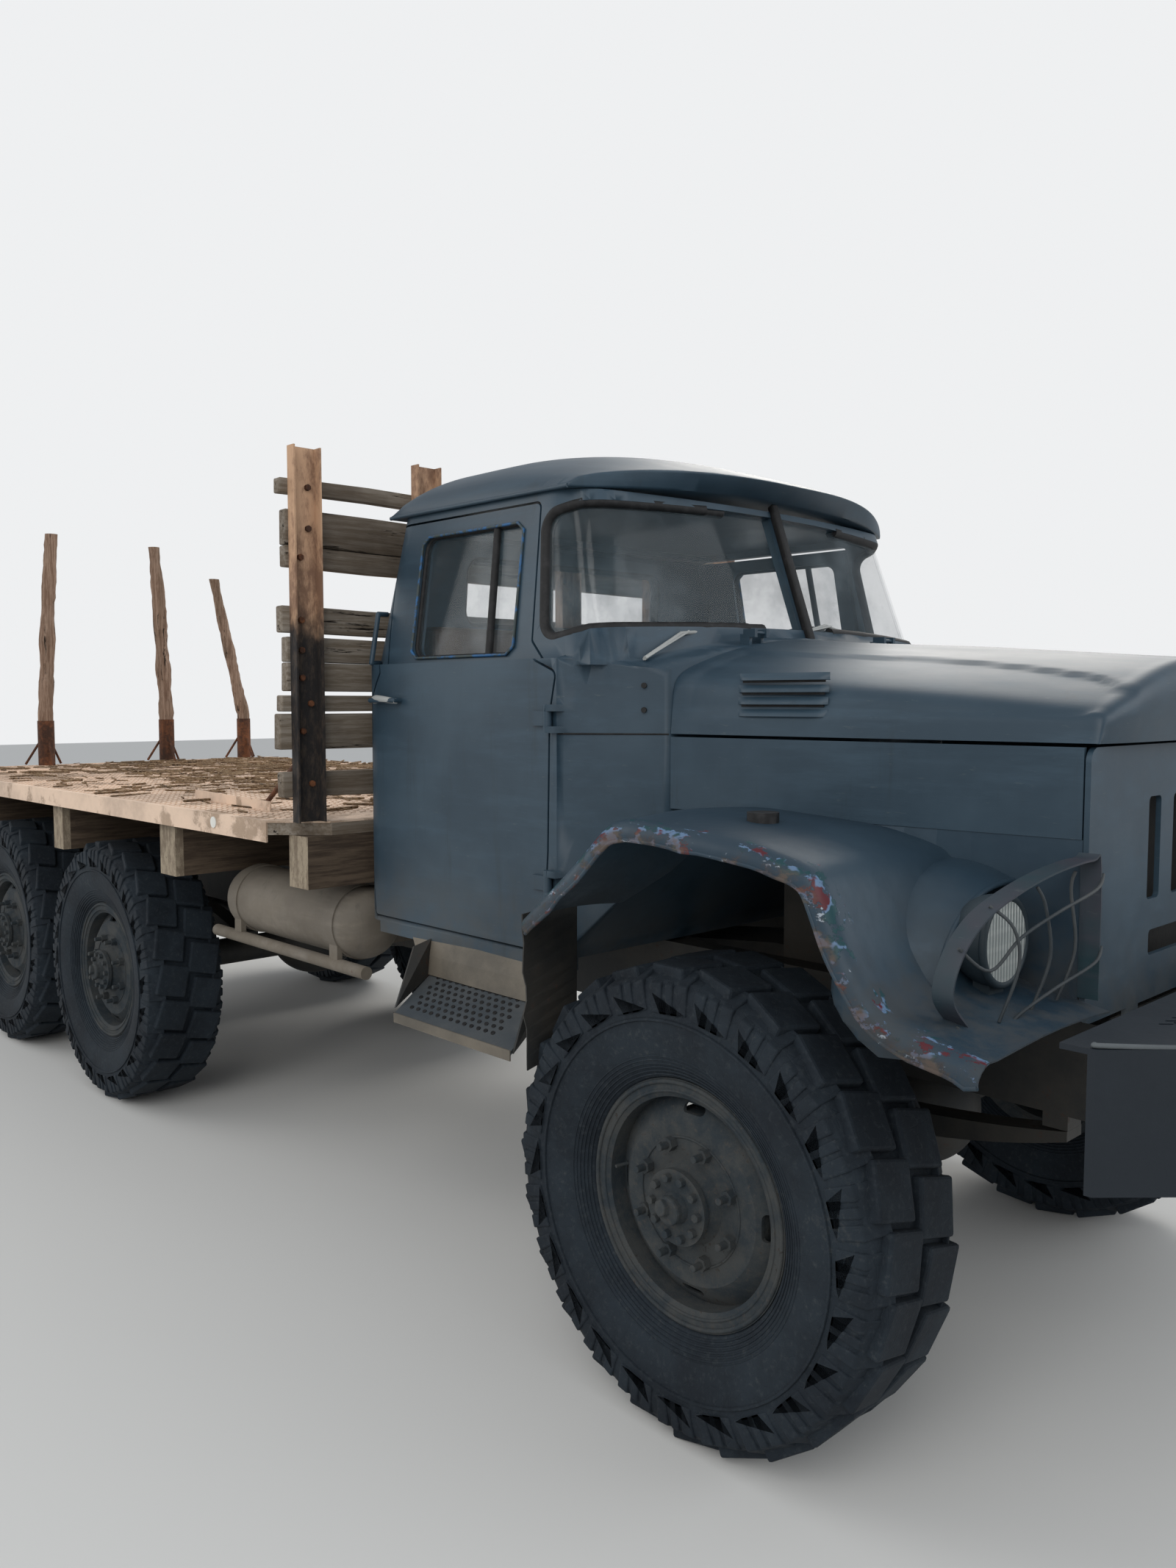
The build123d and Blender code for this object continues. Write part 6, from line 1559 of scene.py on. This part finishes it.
class TruckTimber(bpy.types.Operator):
    """Worn planks of the headboard and the gnarled stakes"""

    bl_idname = "truck.timber"
    bl_label = "Timber"

    def execute(self, context):
        shape = context.scene.truck_shape
        # Unseeded, noise_vector starts from the clock and differs from run to run
        noise.seed_set(SEED)
        planks = cad_copy("headboard_planks")
        # Merged flat facets, so that the bevel runs along whole edges
        with editing(planks):
            bpy.ops.mesh.dissolve_limited(angle_limit=math.radians(2))
        bevel(planks, 0.005, 2)
        with editing(planks):
            for i in range(12):
                bpy.ops.mesh.bisect(plane_co=(0, -1.1 + 0.185 * i, 0), plane_no=(0, 1, 0.02))
                bpy.ops.mesh.select_all(action="SELECT")
        roughen(planks, shape.plank_wear * 1.4, 2.4, 3.0, (0.3, 1.5, 1.6))
        smooth(planks, 30)
        settle(planks, "worn_planks", "old_timber", "old_timber")
        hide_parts("headboard_planks")
        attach(planks, "chassis")

        trunks = []
        for index, (y, top, lean, radius) in enumerate(STAKES):
            foot = DECK_TOP + 0.0003
            deselect()
            bpy.ops.mesh.primitive_cylinder_add(
                vertices=28, radius=radius, depth=top - foot, location=(STAKE_X, y, (top + foot) / 2)
            )
            trunk = context.object
            bpy.ops.object.transform_apply(location=True, rotation=True, scale=True)
            with editing(trunk):
                for i in range(1, STAKE_RINGS):
                    z = foot + (top - foot) * i / STAKE_RINGS
                    bpy.ops.mesh.bisect(plane_co=(0, 0, z), plane_no=(0, 0, 1))
                    bpy.ops.mesh.select_all(action="SELECT")
            bend = foot + 0.30
            for vertex in trunk.data.vertices:
                up = max(0.0, (vertex.co.z - bend) / (top - bend))
                if up <= 0:
                    continue
                knot = noise.noise(Vector((index * 9.1, 0, vertex.co.z * 5.5))) * 0.30 + 1
                bark = noise.noise(vertex.co * 32 + Vector((index, 0, 0))) * 0.14
                centre = Vector((STAKE_X, y, vertex.co.z))
                out = (vertex.co - centre) * ((1 - 0.16 * up) * (knot + bark))
                wave = noise.noise_vector(Vector((index * 4.7, 2.0, vertex.co.z * 2.2)))
                wave = wave * shape.stake_wear * min(1, up * 4)
                vertex.co = centre + out + Vector((wave.x, wave.y + lean * up, 0))
            smooth(trunk, 50)
            trunks.append(trunk)
        stakes = join(trunks)
        settle(stakes, "bark_stakes", "stake_timber", "old_timber")
        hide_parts("stakes")
        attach(stakes, "chassis")
        return {"FINISHED"}


def lozenge_field(x_range, y_range, top, pitch, lift=0.0016):
    """Raised lozenges of tread plate over a rectangle, in two directions."""
    lozenge = block((-0.0145, -0.0035, -0.0006), (0.0145, 0.0035, lift))
    for vertex in lozenge.data.vertices:
        if vertex.co.z > 0:
            vertex.co.x *= 0.72
            vertex.co.y *= 0.55
        if abs(vertex.co.x) > 0.012:
            vertex.co.y *= 0.35
    first = copied(lozenge, Matrix.Rotation(math.radians(45), 4, "Z"))
    between = Matrix.Translation((pitch / 2, pitch / 2, 0))
    second = copied(lozenge, between @ Matrix.Rotation(math.radians(-45), 4, "Z"))
    bpy.data.objects.remove(lozenge)
    pair = join([first, second])
    columns = max(1, int((x_range[1] - x_range[0]) / pitch))
    rows = max(1, int((y_range[1] - y_range[0]) / pitch))
    pair.data.transform(Matrix.Translation((x_range[0] + pitch * 0.4, y_range[0] + pitch * 0.4, top)))
    for axis, count in ((0, columns), (1, rows)):
        made = pair.modifiers.new("repeat", "ARRAY")
        made.use_relative_offset = False
        made.use_constant_offset = True
        made.constant_offset_displace = (pitch if axis == 0 else 0, pitch if axis == 1 else 0, 0)
        made.count = count
    apply_all(pair)
    return pair


def dimple_field(columns, rows):
    """Round dimples of the step plates, set like the squares of a board."""
    dimples = []
    pattern = drum((0, 0, 0), (0, 0, 1), 0.0085, 0.003, 12)
    bevel(pattern, 0.001, 1)
    for row in range(rows):
        for column in range(columns):
            x = 0.016 + 0.031 * column + (0.0155 if row % 2 else 0)
            dimples.append(copied(pattern, Matrix.Translation((x, 0.030 + 0.028 * row, 0))))
    bpy.data.objects.remove(pattern)
    return join(dimples)


BUMPER_EDGE = (
    # x and y of the bumper's upper edge, from its right end to its middle
    (3.287, -1.138), (3.300, -1.135), (3.400, -1.030), (3.470, -0.955), (3.491, -0.915), (3.491, 0.0),
)


class TruckTreadPlate(bpy.types.Operator):
    """Raised pattern of the tread plates on the deck, bumper and steps"""

    bl_idname = "truck.tread_plate"
    bl_label = "Tread plate"

    def execute(self, context):
        pitch = context.scene.truck_shape.lozenge
        deck = lozenge_field((DECK_REAR + 0.02, DECK_FRONT - 0.17), (-1.105, 1.105), DECK_TOP, pitch)
        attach(settle(deck, "deck_lozenges", "deck_steel", "deck_steel"), "chassis")
        bumper = lozenge_field((FRONT_X + 1.00, FRONT_X + 1.19), (-0.92, 0.92), BUMPER_TOP, 0.030)
        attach(settle(bumper, "bumper_lozenges", "bumper_paint", "frame_paint"), "chassis")
        wavy = []
        for x, y in BUMPER_EDGE + tuple((x, -y) for x, y in reversed(BUMPER_EDGE[:-1])):
            bent = 0.006 * noise.noise(Vector((x * 9, y * 7, 2.0)))
            wavy.append(Vector((x, y, BUMPER_TOP + 0.004 + bent)))
        lip = bead(smooth_line(wavy), 0.0045)
        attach(settle(lip, "bumper_lip", "lip_metal", "frame_paint"), "chassis")
        # The steps fall outwards
        fields = []
        drop = math.atan2(0.890 - 0.822, 1.110 - 0.866)
        for side, tag in SIDES:
            field = dimple_field(13, 7)
            skew = Matrix.Identity(4)
            skew[0][1] = 0.53
            lean = Matrix.Rotation(-drop, 4, "X")
            place = Matrix.Translation((FRONT_X - 1.150, 0.870, 0.8893))
            field.data.transform(place @ lean @ skew)
            if side < 0:
                field.data.transform(Matrix.Scale(-1, 4, (0, 1, 0)))
                field.data.flip_normals()
            fields.append(field)
        steps = join(fields)
        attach(settle(steps, "step_dimples", "rubber_seal", "cab_paint"), "chassis")
        return {"FINISHED"}


POST_FACE = FRONT_X - 1.638
POSTS = (-1.035, -0.559, 0.108, 0.590, 1.035)
BOLT_LEVELS = (1.455, 1.626, 1.715, 1.798, 1.886, 1.982, 2.182, 2.275, 2.405)


class TruckBolts(bpy.types.Operator):
    """Bolt heads on the headboard's posts"""

    bl_idname = "truck.bolts"
    bl_label = "Bolts"

    def execute(self, context):
        heads = []
        for y in POSTS:
            for z in BOLT_LEVELS:
                aside = 0.016 if int(z * 1000) % 2 else -0.014
                heads.append(drum((POST_FACE + 0.005, y + aside, z), (1, 0, 0), 0.011, 0.012, 6))
        post_bolts = join(heads)
        bevel(post_bolts, 0.0015, 1)
        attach(settle(post_bolts, "post_bolts", "rusty_steel", "rusty_steel"), "chassis")
        return {"FINISHED"}


class TruckPanel(bpy.types.Panel):
    """Lists the truck's pieces"""

    bl_idname = "VIEW3D_PT_truck"
    bl_label = "Truck"
    bl_space_type = "VIEW_3D"
    bl_region_type = "UI"
    bl_category = "Truck"

    def draw(self, context):
        column = self.layout.column()
        for group in (context.scene.truck_stage, context.scene.truck_shape):
            for name in group.__annotations__:
                column.prop(group, name)
        for step in STEPS:
            column.operator(step.bl_idname)


GROUPS = (TruckStage, TruckShape)
STEPS = (
    TruckFinishes,
    TruckStageMake,
    TruckTyres,
    TruckHubs,
    TruckWindows,
    TruckCab,
    TruckHood,
    TruckWipers,
    TruckLamps,
    TruckFenders,
    TruckSteps,
    TruckRoof,
    TruckSeats,
    TruckTrim,
    TruckTimber,
    TruckTreadPlate,
    TruckBolts,
)


def register():
    for kind in GROUPS + STEPS + (TruckPanel,):
        bpy.utils.register_class(kind)
    bpy.types.Scene.truck_stage = bpy.props.PointerProperty(type=TruckStage)
    bpy.types.Scene.truck_shape = bpy.props.PointerProperty(type=TruckShape)


def unregister():
    del bpy.types.Scene.truck_shape
    del bpy.types.Scene.truck_stage
    for kind in reversed(GROUPS + STEPS + (TruckPanel,)):
        bpy.utils.unregister_class(kind)


def main():
    register()
    for step in STEPS:
        group, name = step.bl_idname.split(".")
        getattr(getattr(bpy.ops, group), name)()
    deselect()


if __name__ == "__main__":
    main()
